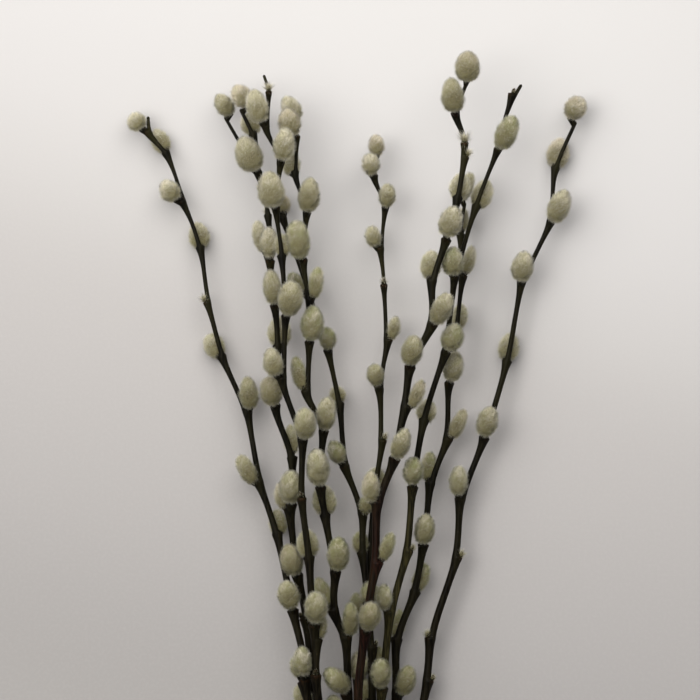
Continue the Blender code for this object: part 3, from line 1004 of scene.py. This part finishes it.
    def wood(self) -> Surface:
        """The bark: rings of centre + right * cos + up * sin, at the radius plus the shoulders' rise.

        The foot is cut on a slant, and both ends close in shrinking rings.
        """
        y = self.rings()
        caps = np.array(self.caps)
        y = np.concatenate([np.full(len(caps), y[0]), y, np.full(len(caps), y[-1])])
        shrink = np.concatenate([caps[::-1], np.ones(len(y) - 2 * len(caps)), caps])
        turn = 2 * np.pi * np.arange(self.bark_sides) / self.bark_sides
        along, right, up = self.frame(y)
        swell, scar = self.rise(y[:, None], turn[None, :])
        height, number, twist = self.ridges
        ridge = 1 + height * np.cos(number * turn[None, :] + twist * y[:, None])
        reach = (self.radius(y)[:, None] * self.roundness * ridge + swell) * shrink[:, None]
        out = right[:, None] * np.cos(turn)[:, None] + up[:, None] * np.sin(turn)[:, None]
        low = np.clip(1 - (y[:, None] - self.foot) / self.cut_run, 0, 1)
        slant = self.cut_slope * reach * np.cos(turn - self.cut_side) * low
        points = self.centre(y)[:, None] + out * reach[..., None] + along[:, None] * slant[..., None]
        dome = (1 - shrink**2)[:, None, None] * (y >= self.tip)[:, None, None]
        points = points + along[:, None] * dome * self.tip_radius * self.dome[0]
        mask = np.zeros((*reach.shape, 4))
        mask[..., 0] = self.scar_share * scar
        capped = (shrink < 1) & (y <= self.foot)
        mask[..., 1] = capped[:, None]
        mask[..., 2] = (capped & (shrink < self.pith_cap))[:, None]
        mask[..., 3] = np.clip(y / self.tip, 0, 1)[:, None]
        top = points[-1].mean(0) + along[-1] * self.tip_radius * self.dome[1]
        return closed_tube(points, points[0].mean(0), top, {"bark": mask})

    def stand(self, joint: Joint) -> tuple[Array, Array, Array, float]:
        """Centre of the stem at a joint, its direction, the way its catkin faces, and the wood's radius."""
        y = np.array([joint.y])
        along, right, up = (direction[0] for direction in self.frame(y))
        side = math.radians(joint.side + joint.roll)
        outer = right * math.cos(side) + up * math.sin(side)
        return self.centre(y)[0], along, outer, float(self.radius(y)[0])

    def catkin(self, joint: Joint) -> Growth:
        """The catkin of a joint, which stands beside the stem or, at the tip, on its end."""
        centre, along, outer, wood = self.stand(joint)
        lean = math.radians(self.lean)
        axis = along * math.cos(lean) + outer * math.sin(lean)
        if joint is self.joints[0]:
            middle = centre + axis * joint.length / 2
        else:
            beside = wood + self.belly_gap + self.belly * joint.width / 2
            middle = centre + along * (joint.length / 2 * math.cos(lean)) + outer * beside
        base = middle - axis * joint.length / 2 + [joint.shift, joint.rise, 0.0]
        cos, sin = math.cos(math.radians(joint.turn)), math.sin(math.radians(joint.turn))
        swing = np.array([[cos, -sin, 0], [sin, cos, 0], [0, 0, 1]])
        phases = 2 * np.pi * self.draw.random((3, 3))
        looks = (joint.length, joint.width, joint.coat, joint.form)
        return Growth(base, swing @ axis, swing @ outer, *looks, phases, joint.tone)

    def bud(self, joint: Joint) -> Growth:
        """The bare bud of a joint, which lies along the stem."""
        centre, along, outer, wood = self.stand(joint)
        lean = math.radians(self.lean)
        axis = along * math.cos(lean) + outer * math.sin(lean)
        length, width = self.bud_size
        phases = 2 * np.pi * self.draw.random((3, 3))
        return Growth(centre + outer * wood, axis, outer, length, width, Coat.WHITE, Form.EGG, phases)

    def collar(self, joint: Joint, growth: Growth) -> Surface:
        """The short stalk and bud scale under a catkin: a tube that widens from the wood to the fur.

        Its radius follows a smooth curve of the way along it, and its rim closes inside the fur.
        """
        form = self.collar_form
        centre, along, outer, wood = self.stand(joint)
        start = centre - along * form.drop + outer * (wood * form.outwards)
        if joint is self.joints[0]:
            start = centre - along * form.tip_drop
        end = growth.base + growth.axis * (growth.length * form.into_fur)
        share = np.array(form.shares)
        reach = np.array(form.radii) * growth.fullness
        turn = 2 * np.pi * np.arange(form.sides) / form.sides
        way = unit(end - start)
        depth = unit(outer - way * (outer @ way))
        across = np.cross(way, depth)
        out = np.cos(turn)[:, None] * across + np.sin(turn)[:, None] * depth
        points = (start + (end - start) * share[:, None])[:, None] + out * reach[:, None, None]
        mask = np.zeros((len(share), len(turn), 4))
        mask[..., 0] = np.clip((share - form.rim[0]) / form.rim[1], 0, 1)[:, None] * form.rim_scar
        mask[..., 3] = form.youth
        low, high = form.points
        return closed_tube(points, start - way * low, end + way * high, {"bark": mask})

    def scale(self, growth: Growth) -> Surface:
        """The dark scale over a bare bud: the bud's own surface, which turns to scar from its middle up."""
        body = growth.core(*self.bud_rings, 0.0)
        mask = np.zeros((len(body.points), 4))
        mask[:, 0] = np.clip((body.masks["place"][:, 0] - 0.5) * 1.5, 0, self.bud_scar)
        mask[:, 3] = self.bud_youth
        return Surface(body.points, body.faces, {"bark": mask})

    def build(self, barks: dict[Bark, Material], hair: Material) -> None:
        """Make the stem's two pieces: its bark, and the hair of its catkins.

        Args:
            barks: Material of each bark.
            hair: Material of the catkins.
        """
        bark, fur = [self.wood()], []
        for joint in self.joints:
            if joint.length:
                growth = self.catkin(joint)
                bark.append(self.collar(joint, growth))
                fur.append(growth.core(*self.catkin_rings, growth.skin))
                count = int(self.hair_density * math.pi * growth.width * growth.length * self.belly)
                fur.append(growth.hairs(count, Fur(), self.draw))
            elif joint is not self.joints[0]:
                growth = self.bud(joint)
                bark.append(self.scale(growth))
                tuft = Fur(self.tuft_length * joint.tuft, self.tuft_width)
                fur.append(growth.hairs(int(self.tuft_hairs * joint.tuft), tuft, self.draw))
        make_piece(f"{self.name}_bark", bark, barks[self.bark], self.name)
        make_piece(f"{self.name}_catkins", fur, hair, self.name)


@dataclass
class Tie:
    """Twine wound round the bundle, with a small knot and two short ends on top.

    The knot's loop is two waves along each axis, and each end runs out, along and down by a power.
    """

    turns: int = 5
    radius: float = 0.85
    spread: float = 7.3
    samples: int = 640
    sides: int = 12
    lay: float = 5.0
    ply: Pair = (0.8, 0.2)
    point: float = 0.3
    lift: float = 1.1
    knot_samples: int = 90
    knot_across: Pair = (2.2, 2.0)
    knot_along: Pair = (2.4, -1.6)
    knot_up: Pair = (0.9, 0.9)
    end_samples: int = 30
    end_across: Pair = (1.5, 7.5)
    end_along: Pair = (4.0, -5.0)
    end_up: Pair = (0.8, -3.6)

    def outline(self, share: Array, offset: float) -> Array:
        """Points (x, z) round the bundle at shares of one turn: the honeycomb's hull, pushed out.

        The hull's corners are arcs and its sides are straight, all walked at an even pace.
        """
        fine = 2 * np.pi * np.arange(720) / 720 + math.pi / 2
        facing = np.stack([np.cos(fine), np.sin(fine)], -1)
        centres = np.array([(place * BUNDLE.pitch, BUNDLE.height(row)) for place, row in BUNDLE.corners])
        corner = centres[np.argmax(facing @ centres.T, axis=1)]
        ring = np.concatenate([corner + facing * offset, (corner + facing * offset)[:1]])
        walked = np.concatenate([[0], np.cumsum(np.linalg.norm(np.diff(ring, axis=0), axis=1))])
        place = (share % 1.0) * walked[-1]
        return np.stack([np.interp(place, walked, ring[:, axis]) for axis in (0, 1)], -1)

    def strand(self, path: Array, reference: Array) -> Surface:
        """Two-ply twine along a path: its radius swings twice a turn, and turns with the lay.

        Args:
            path: Points of its centre line.
            reference: Direction that the path never runs along.

        Returns:
            The closed twine, flattened where it would pass under the floor.
        """
        way = unit(np.gradient(path, axis=0))
        first = unit(np.cross(way, reference))
        second = np.cross(first, way)
        run = np.concatenate([[0], np.cumsum(np.linalg.norm(np.diff(path, axis=0), axis=1))])
        turn = 2 * np.pi * np.arange(self.sides) / self.sides
        twist = 2 * np.pi * run / self.lay
        reach = self.radius * (self.ply[0] + self.ply[1] * np.abs(np.cos(turn[None] - twist[:, None])))
        out = first[:, None] * np.cos(turn)[:, None] + second[:, None] * np.sin(turn)[:, None]
        points = path[:, None] + out * reach[..., None]
        points[..., 2] = np.maximum(points[..., 2], FLOOR_GAP)
        mask = np.ones((*reach.shape, 4))
        low, high = path[0] - way[0] * self.point, path[-1] + way[-1] * self.point
        return closed_tube(points, low, high, {"fibre": mask})

    def build(self, twine: Material) -> None:
        """Make the turns, the knot and its ends as one piece.

        Args:
            twine: Material of the twine.
        """
        share = np.linspace(0.0, self.turns, self.samples)
        ring = self.outline(share, BUNDLE.inside + self.radius)
        y = np.linspace(-self.spread / 2, self.spread / 2, self.samples)
        turns = np.stack([ring[:, 0], y, ring[:, 1]], -1)
        top = float(turns[:, 2].max()) + self.lift
        t = np.linspace(0, 2 * np.pi, self.knot_samples)
        x = self.knot_across[0] * np.sin(t) + self.knot_across[1] * np.sin(2 * t)
        y = self.knot_along[0] * np.cos(t) + self.knot_along[1] * np.cos(2 * t)
        knot = np.stack([x, y, top + self.knot_up[0] + self.knot_up[1] * np.sin(3 * t)], -1)
        run = np.linspace(0, 1, self.end_samples)
        ends = []
        for sign in (-1.0, 1.0):
            x = sign * (self.end_across[0] + self.end_across[1] * run)
            y = sign * self.end_along[0] * run**1.5 + self.end_along[1] * run
            ends.append(np.stack([x, y, top + self.end_up[0] + self.end_up[1] * run**2], -1))
        upward = np.array([0.0, 0.0, 1.0])
        pieces = [self.strand(turns, np.array([0.0, 1.0, 0.0]))]
        pieces += [self.strand(path, upward) for path in (knot, *ends)]
        make_piece("tie_twine", pieces, twine, "tie")


@dataclass
class Studio:
    """The pale floor, a soft light beyond the tips, one from above, an even sky, and the camera above."""

    frame_width: float = 350.0
    centre: Pair = (-9.0, 285.0)
    plane: float = 25.0
    distance: float = 4000.0
    sensor: float = 36.0
    floor_half: float = 9000.0
    key_power: float = 6.1
    key_place: Triple = (-130.0, 610.0, 520.0)
    key_size: Pair = (1200.0, 640.0)
    key_target: Triple = (0.0, 330.0, 0.0)
    top_power: float = 36.0
    top_place: Triple = (-1500.0, 1000.0, 3600.0)
    top_size: Pair = (2400.0, 2400.0)
    world: float = 0.3
    lamp_tint: str = "#fffbf5"
    sky_tint: str = "#f4f2f2"

    def floor(self, paper: Material) -> None:
        """A flat square of paper at z = 0.

        Args:
            paper: Its material.
        """
        half = self.floor_half * MM
        mesh = bpy.data.meshes.new("floor")
        corners = [(-half, -half, 0), (half, -half, 0), (half, half, 0), (-half, half, 0)]
        mesh.from_pydata(corners, [], [(0, 1, 2, 3)])
        mesh.materials.append(paper)
        floor = bpy.data.objects.new("floor", mesh)
        bpy.context.scene.collection.objects.link(floor)

    def lamp(self, name: str, power: float, size: Pair, place: Triple) -> None:
        """A soft light that faces the key's target, and that the camera doesn't see.

        Args:
            name: Its name.
            power: Its power in watts.
            size: Its width and height in millimetres.
            place: Where it stands, in millimetres.
        """
        data = bpy.data.lights.new(name, "AREA")
        data.shape = "RECTANGLE"
        data.size, data.size_y = size[0] * MM, size[1] * MM
        data.energy = power
        data.color = linear(self.lamp_tint)[:3]
        lamp = bpy.data.objects.new(name, data)
        bpy.context.scene.collection.objects.link(lamp)
        lamp.visible_camera = False
        lamp.location = Vector(place) * MM
        lamp.rotation_euler = (Vector(self.key_target) - Vector(place)).to_track_quat("-Z", "Y").to_euler()

    def lights(self) -> None:
        """A key beyond the tips that falls off towards the feet, a light from above, and an even sky."""
        self.lamp("key", self.key_power, self.key_size, self.key_place)
        self.lamp("top", self.top_power, self.top_size, self.top_place)
        world = bpy.data.worlds.new("soft sky")
        world.use_nodes = True
        back = world.node_tree.nodes["Background"]
        back.inputs["Color"].default_value = linear(self.sky_tint)
        back.inputs["Strength"].default_value = self.world
        bpy.context.scene.world = world

    def camera(self) -> None:
        """A long lens straight above, whose frame is frame_width wide at the height of the stems."""
        data = bpy.data.cameras.new("camera")
        data.sensor_width = self.sensor
        data.lens = self.sensor * (self.distance - self.plane) / self.frame_width
        camera = bpy.data.objects.new("camera", data)
        camera.location = (self.centre[0] * MM, self.centre[1] * MM, self.distance * MM)
        bpy.context.scene.collection.objects.link(camera)
        bpy.context.scene.camera = camera

    def build(self) -> None:
        """Set the stage, the lights and the camera."""
        self.floor(PaperFinish().material())
        self.lights()
        self.camera()
        bpy.context.scene.view_settings.view_transform = "Standard"


# Sides are in degrees round the stem: 0 right, 90 up, 180 left, -90 down. Heights are (y, z) above
# the floor, bends are (x, y) where a stem turns with no joint, and joints run from the tip down.
STEMS = (
    Stem("stem_01", (-1.0, 2), -78.0, 0.9, 1.2,
        ((40, 20), (110, 27), (150, 23), (180, 17), (220, 13), (260, 10.6), (401, 10.6)), (
        Joint(-110.3, 401.5, 90),
        Joint(-109.6, 395, 175, 9.4, 10.6, rise=2.1, shift=0.3, tone=0.3),
        Joint(-102, 384, -65, 13.1, 9.2, Coat.GREY, roll=-13, rise=0.1, tone=-0.2),
        Joint(-92.5, 360, 160, 11.9, 10.6, rise=1.4),
        Joint(-84.5, 336.5, -75, 13.5, 10.4, Coat.GREY, roll=-2, rise=-0.6, tone=-0.4),
        Joint(-80, 309, 180, tuft=0.7),
        Joint(-73, 282, -117, 13.2, 10.6, form=Form.BARREL, roll=4, rise=-0.3),
        Joint(-61.5, 254, 10, 16.7, 9.6, roll=28, rise=0.4, tone=-0.8),
        Joint(-54, 219, 165, 16.3, 9, Coat.PALE, Form.CREASED, roll=-14, rise=-0.5, tone=-0.8),
        Joint(-46, 193, -65, 13.3, 9, Coat.OLIVE, rise=-0.8),
        Joint(-37.5, 154.5, 95, 14.7, 10.8, Coat.PALE, Form.CREASED, rise=0.1, tone=-0.6),
        Joint(-31, 120, 112, 15.3, 9.5, Coat.PALE, Form.CREASED, roll=-6, rise=1.8, tone=1),
        Joint(-31, 118.5, 170, 10, 6, Coat.GREEN, roll=14, rise=3.2),
        Joint(-28.5, 103, -150, 14, 9, form=Form.BARREL, roll=31, rise=1.6),
    )),
    Stem("stem_02", (0.0, 0), -84.0, 0.9, 1.3,
        ((60, 10), (110, 16), (150, 17), (200, 15), (401, 13)), (
        Joint(-71.5, 401.5, 120, 12.6, 9.4, rise=1.5, shift=3.1, tone=-0.6),
        Joint(-43.5, 351, -45, 12, 10, Coat.PINK, roll=-25, rise=1.6),
        Joint(-29.5, 313, -160, 12, 9, Coat.GREEN, rise=1.6),
        Joint(-20.5, 285, 65, 11.4, 8.9, Coat.GREEN, roll=6, rise=0.2, tone=0.6),
        Joint(-14.5, 258, -80, 8.8, 8.5, Coat.GREY, roll=-12, rise=0.4, tone=0.3),
        Joint(-11, 227, 140, 12.1, 9, Coat.GREEN, roll=-11, rise=2, tone=1),
        Joint(-3.5, 203.5, 35, 8.4, 7.5, Coat.OLIVE, roll=10, rise=-0.7, tone=-1),
        Joint(-2.5, 183.5, -115, 11.1, 8, Coat.OLIVE, roll=16, tone=-0.5),
        Joint(0, 158.5, 80, 10.5, 9.5, Coat.GREEN, roll=-3, rise=0.2),
        Joint(1.5, 136, 0, tuft=0.35),
        Joint(1.8, 126, -10, 9, 6, Coat.OLIVE, roll=-31, rise=1),
        Joint(2.2, 108, -170, 12, 7, Coat.GREEN, roll=31, rise=1),
    )),
    Stem("stem_03", (-1.5, 1), -80.0, 0.95, 1.0,
        ((60, 13), (110, 18), (150, 17), (180, 18), (210, 20.5), (250, 23), (401, 23)), (
        Joint(-63.5, 405, 160, 12.6, 10.9, Coat.PINK, rise=2.2, shift=4.4),
        Joint(-58, 393, -70, 11.4, 10.5, Coat.GREY, roll=-8, rise=-0.1),
        Joint(-54.5, 374, 125, 18.4, 13.5, roll=-4, rise=1, tone=-0.5),
        Joint(-50, 352.5, -100, tuft=0.5),
        Joint(-48.8, 332, -160, 16.4, 8.2, roll=-28, rise=1.8, tone=0.2),
        Joint(-48.8, 329.5, 95, 16, 9, Coat.PALE, Form.CREASED, rise=1.3, tone=1),
        Joint(-46.5, 307.5, 95, 17.7, 9.4, Coat.GREY, roll=2, rise=0.6, tone=0.2),
        Joint(-45.3, 287, -80, 15.5, 12, Coat.GREY, roll=-2, tone=0.7),
        Joint(-46, 257.5, 110, 15, 11.5, Coat.PINK, Form.BARREL, rise=-0.2, tone=-0.5),
        Joint(-38.5, 231, -57, 14.8, 7, Coat.GREY, roll=-19, rise=1.6),
        Joint(-38.3, 208, 92, 17, 12, Coat.PALE, Form.BARREL, rise=0.9, tone=0.5),
        Joint(-38.5, 205, -140, 13.7, 8, Coat.PINK, roll=-6, rise=0.1, tone=0.6),
        Joint(-35, 172.5, 115, 16.4, 11.2, Coat.PINK, roll=-6, rise=0.6, tone=-0.3),
        Joint(-30.8, 150.5, 180, tuft=0.3),
    ), ((-27.8, 110),)),
    Stem("stem_04", (0.0, 2), -74.0, 0.75, 1.0,
        ((20, 17), (60, 24), (110, 32), (150, 34), (200, 37), (421, 40)), (
        Joint(-51.8, 421.5, 90),
        Joint(-49.5, 413.5, 90, tuft=0.8),
        Joint(-50, 396.5, 165, 16.9, 11.4, roll=-14, rise=1.9),
        Joint(-44.5, 378.5, 25, 16.5, 10.6, roll=35, rise=1, tone=0.5),
        Joint(-45.5, 356, 115, 18.1, 13.4, rise=0.3, tone=-0.2),
        Joint(-43, 332, -95, 11.4, 7.5, Coat.GREY, roll=16, rise=-0.5, tone=-0.5),
        Joint(-41.5, 302, 58, 17.6, 12.4, form=Form.BARREL, roll=7, rise=0.1, tone=-0.6),
        Joint(-42, 271, 160, 14.6, 10.2, roll=-7, rise=1, tone=-0.2),
        Joint(-33.5, 240, 30, 16, 11.2, form=Form.BARREL, roll=30, rise=0.5, tone=0.2),
        Joint(-33, 211, 100, tuft=0.3),
        Joint(-29.5, 181.5, -90, 14.3, 11, Coat.GREY, rise=-0.3),
        Joint(-27.3, 147.5, 70, 16.2, 11.5, Coat.PALE, Form.BARREL, roll=2, rise=1.6, tone=0.4),
        Joint(-26.5, 140, -35, 11.1, 5, Coat.GREY, roll=7, rise=0.8),
        Joint(-26, 122.5, 90, tuft=0.25),
    )),
    Stem("stem_05", (-0.5, 1), -82.0, 0.8, 1.0,
        ((45, 15), (110, 21), (150, 24), (200, 28), (398, 30)), (
        Joint(-37.5, 398, 180, 13.3, 10.1, rise=2.2, shift=2.8, tone=0.4),
        Joint(-35.5, 391.5, 110, 14.4, 11.4, Coat.PINK, roll=19, rise=0.4, tone=-0.3),
        Joint(-36, 374, -120, 12.9, 9.4, Coat.GREY, rise=-1.7, tone=1),
        Joint(-31.5, 353.5, 25, 17.5, 10.9, roll=43, rise=0.5, tone=-0.8),
        Joint(-32, 330, 108, 19.6, 11.9, Coat.GREEN, Form.BARREL, roll=9, rise=0.5, tone=-0.3),
        Joint(-30, 310, -25, 16.3, 7.5, Coat.OLIVE, roll=8, rise=0.4),
        Joint(-29.5, 289, 75, 17.6, 11.5, Coat.GREEN, rise=1),
        Joint(-30, 264.5, -155, 17, 7.5, Coat.GREEN, rise=0.8, tone=-0.7),
        Joint(-23, 244.5, 35, 17.1, 9.9, form=Form.CREASED, roll=32, rise=0.6),
        Joint(-23.5, 216.5, 100, 19.3, 11.5, Coat.PALE, Form.CREASED, roll=3, rise=1, tone=0.6),
        Joint(-21.5, 202.5, -90, 15.9, 11.9, Coat.GREY, roll=6, rise=-0.6, tone=0.4),
        Joint(-17, 174, 45, 17.4, 11, Coat.GREEN, roll=21, rise=1.4),
        Joint(-16.5, 155, -155, 15.5, 8, Coat.OLIVE, roll=10, rise=2.2, tone=0.5),
        Joint(-12, 141, 10, 16.8, 8.2, Coat.OLIVE, roll=14, rise=0.6, tone=-1),
        Joint(-9.8, 113, 150, 15.8, 10.8, Coat.GREEN, Form.BARREL, turn=30, roll=-16, rise=2.2, shift=3),
        Joint(-8.5, 98, 175, 14, 11, Coat.GREEN, rise=1.6),
    )),
    Stem("stem_06", (-1.0, 0), -86.0, 0.8, 1.2,
        ((60, 7), (110, 9), (150, 9), (200, 12), (250, 14), (382, 14)), (
        Joint(4.3, 382, 120, 10.8, 8, Coat.PINK, rise=0.4, shift=0.2),
        Joint(3.5, 372.5, 115, 11.3, 9.2, form=Form.BARREL, tone=0.3),
        Joint(8, 357, 40, 11.9, 8.7, roll=29, rise=-0.3, tone=-0.6),
        Joint(7, 336, 150, 10.7, 8.4, Coat.GREY, roll=9, rise=0.8),
        Joint(8, 317.5, 90, tuft=0.5),
        Joint(9, 290, 0, 11.8, 6, rise=0.3, tone=-0.5),
        Joint(6.5, 265.5, 145, 11.3, 8.7, Coat.GREY, Form.BARREL, roll=-22, rise=1.5, tone=-1),
        Joint(6.5, 239.5, 0, tuft=0.6),
        Joint(3.5, 214, -90, 12, 10, Coat.GREY),
        Joint(-1.3, 150, -165, 12, 8, Coat.GREY, roll=19, rise=0.8),
        Joint(-4.5, 120, 110, 15, 10, Coat.PINK, roll=-15, rise=-0.3, tone=1),
    )),
    Stem("stem_07", (1.0, 2), -80.0, 0.9, 0.62,
        ((20, 17), (60, 24), (110, 32), (150, 36), (200, 38), (418, 41)), (
        Joint(49, 418, 90, 15.1, 12.5, Coat.PINK, Form.BELL, turn=16, rise=1.1, shift=0.4, tone=-0.8),
        Joint(44.5, 403, 165, 17.1, 11.2, form=Form.BELL, roll=-50, rise=0.8, tone=-1),
        Joint(48, 388, 90, tuft=1.1),
        Joint(47.5, 381, 0, tuft=0.8),
        Joint(44.8, 361, -100, 14, 10, roll=6, rise=-1.2),
        Joint(39, 340, 90, 15.8, 11.7, rise=1.7),
        Joint(32.5, 319.5, -135, 14.9, 10.5, Coat.GREY, roll=20, rise=0.4),
        Joint(31, 298, 20, 17.2, 10.5, form=Form.CREASED, roll=33, rise=0.4, tone=-0.4),
        Joint(21.5, 276.5, 120, 15.2, 10.8, Coat.GREY, roll=-14, rise=1, tone=-0.8),
        Joint(18, 257, -20, 15.1, 7, Coat.PINK, roll=11, rise=-0.3, tone=-0.4),
        Joint(13, 231, 75, 16.2, 9.1, rise=0.5),
        Joint(5.5, 209, 165, 15.6, 9.2, Coat.PINK, Form.BARREL, rise=-1.1, tone=0.5),
        Joint(3.5, 179, 0, 14.8, 7, Coat.GREEN, rise=1.4, tone=-0.5),
        Joint(-1.5, 145, 75, 14.9, 10.9, Coat.PINK, Form.BARREL, roll=2, rise=1.1, tone=-0.5),
    ), ((-4.9, 108),), Bark.RED),
    Stem("stem_08", (1.0, 0), -79.0, 0.9, 1.0,
        ((60, 9), (110, 13), (150, 14), (358, 14)), (
        Joint(48.5, 358.5, 20, 15.4, 7.5, Coat.GREY, rise=1.1, shift=-2.3, tone=0.5),
        Joint(46.5, 343, -90, 12, 7, Coat.GREY, roll=10, rise=1.6),
        Joint(46.5, 322, 0, 14.4, 6.5, Coat.GREY, rise=1.1, tone=0.4),
        Joint(44.5, 296, -80, 13, 7.9, Coat.GREY, rise=-0.2, tone=0.6),
        Joint(40.5, 268.5, 75, 15.6, 10.3, rise=1.1, tone=0.9),
        Joint(39, 240.5, 5, 15.7, 7.5, Coat.PINK, rise=1, tone=-0.2),
        Joint(32, 218, -140, 14.9, 8, Coat.OLIVE, roll=14, rise=0.8, tone=0.3),
        Joint(27.8, 187.5, 92, 15.3, 10.4, form=Form.BELL, roll=3, rise=0.8),
        Joint(23.3, 164, -65, 15, 8, Coat.OLIVE, roll=-7, rise=0.4),
        Joint(15, 140, -120, 14.5, 7, Coat.OLIVE, roll=15, rise=0.3, tone=0.8),
        Joint(14, 113, 30, 15.6, 10.2, Coat.OLIVE, roll=14, rise=-0.4, tone=-0.4),
    )),
    Stem("stem_09", (0.5, 1), -83.0, 0.9, 1.0,
        ((60, 15), (110, 21), (150, 25), (200, 27), (417, 30)), (
        Joint(76.3, 417, 90),
        Joint(73.2, 411.8, 180, swell=1.6, tuft=0.35),
        Joint(64.5, 385.5, 65, 18.3, 11, Coat.GREEN, roll=2, rise=0.4, tone=-0.3),
        Joint(54, 357, -80, 15.5, 10.3, Coat.GREY, rise=-0.8, tone=0.3),
        Joint(44, 321.5, 135, 14.4, 11, Coat.GREEN, roll=-11, rise=0.5),
        Joint(38, 284, 35, 14.2, 11.2, Coat.GREEN, roll=29, rise=1.5, tone=0.6),
        Joint(28, 250, -90, 11.9, 9.9, Coat.GREY, rise=-1.2, tone=0.6),
        Joint(22.5, 216.5, 103, 14.1, 10, Coat.GREEN, Form.BARREL, roll=-4, rise=1.4, tone=1),
        Joint(19.3, 184.5, 0, tuft=0.6),
        Joint(11.8, 154, 165, 13.2, 8.2, Coat.PALE, roll=-14, rise=0.6, tone=1),
        Joint(7.3, 116, 103, 15.3, 10.2, Coat.GREEN, Form.BARREL, rise=0.8, tone=0.4),
    ), ((70.7, 406), (69, 402)), Bark.OLIVE),
    Stem("stem_10", (1.5, 1), -76.0, 1.0, 1.1,
        ((60, 11), (110, 11.3), (399, 11.3)), (
        Joint(104, 399, 60, 12.5, 11.3, Coat.PINK, Form.BARREL, rise=2.1, shift=-3.1, tone=0.8),
        Joint(94.5, 376.5, -107, 15.7, 11.2, Coat.PINK, roll=8, tone=0.5),
        Joint(91, 350, 30, 17.7, 11, roll=32, rise=-0.3),
        Joint(78, 319, 155, 15.5, 11.3, roll=-37, tone=0.2),
        Joint(69.8, 279.5, -88, 14.6, 10.3, Coat.GREY, roll=-9, tone=0.3),
        Joint(58.5, 241, 97, 15.8, 10.6, roll=3, rise=0.7),
        Joint(47.3, 210, 165, 15.3, 9.5, Coat.PALE, roll=-36, rise=1.6, tone=0.7),
        Joint(44, 181, 0, tuft=0.7),
        Joint(32, 140, 180, tuft=0.7),
        Joint(29.5, 119, 0, tuft=0.5),
    )),
)


def main() -> None:
    """Build the studio, the stems and the tie in order."""
    logging.basicConfig(level=logging.INFO, format="%(message)s")
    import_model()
    Studio().build()
    barks = {
        Bark.DARK: BarkFinish().material(),
        Bark.OLIVE: BarkFinish("willow bark, olive low down", shade="#1a180c", light="#3d3920").material(),
        Bark.RED: BarkFinish("willow bark, red-brown low down", shade="#0e0604", light="#28150f").material(),
    }
    hair = CatkinFinish().material()
    for stem in STEMS:
        stem.build(barks, hair)
    Tie().build(TwineFinish().material())


if __name__ == "__main__":
    main()
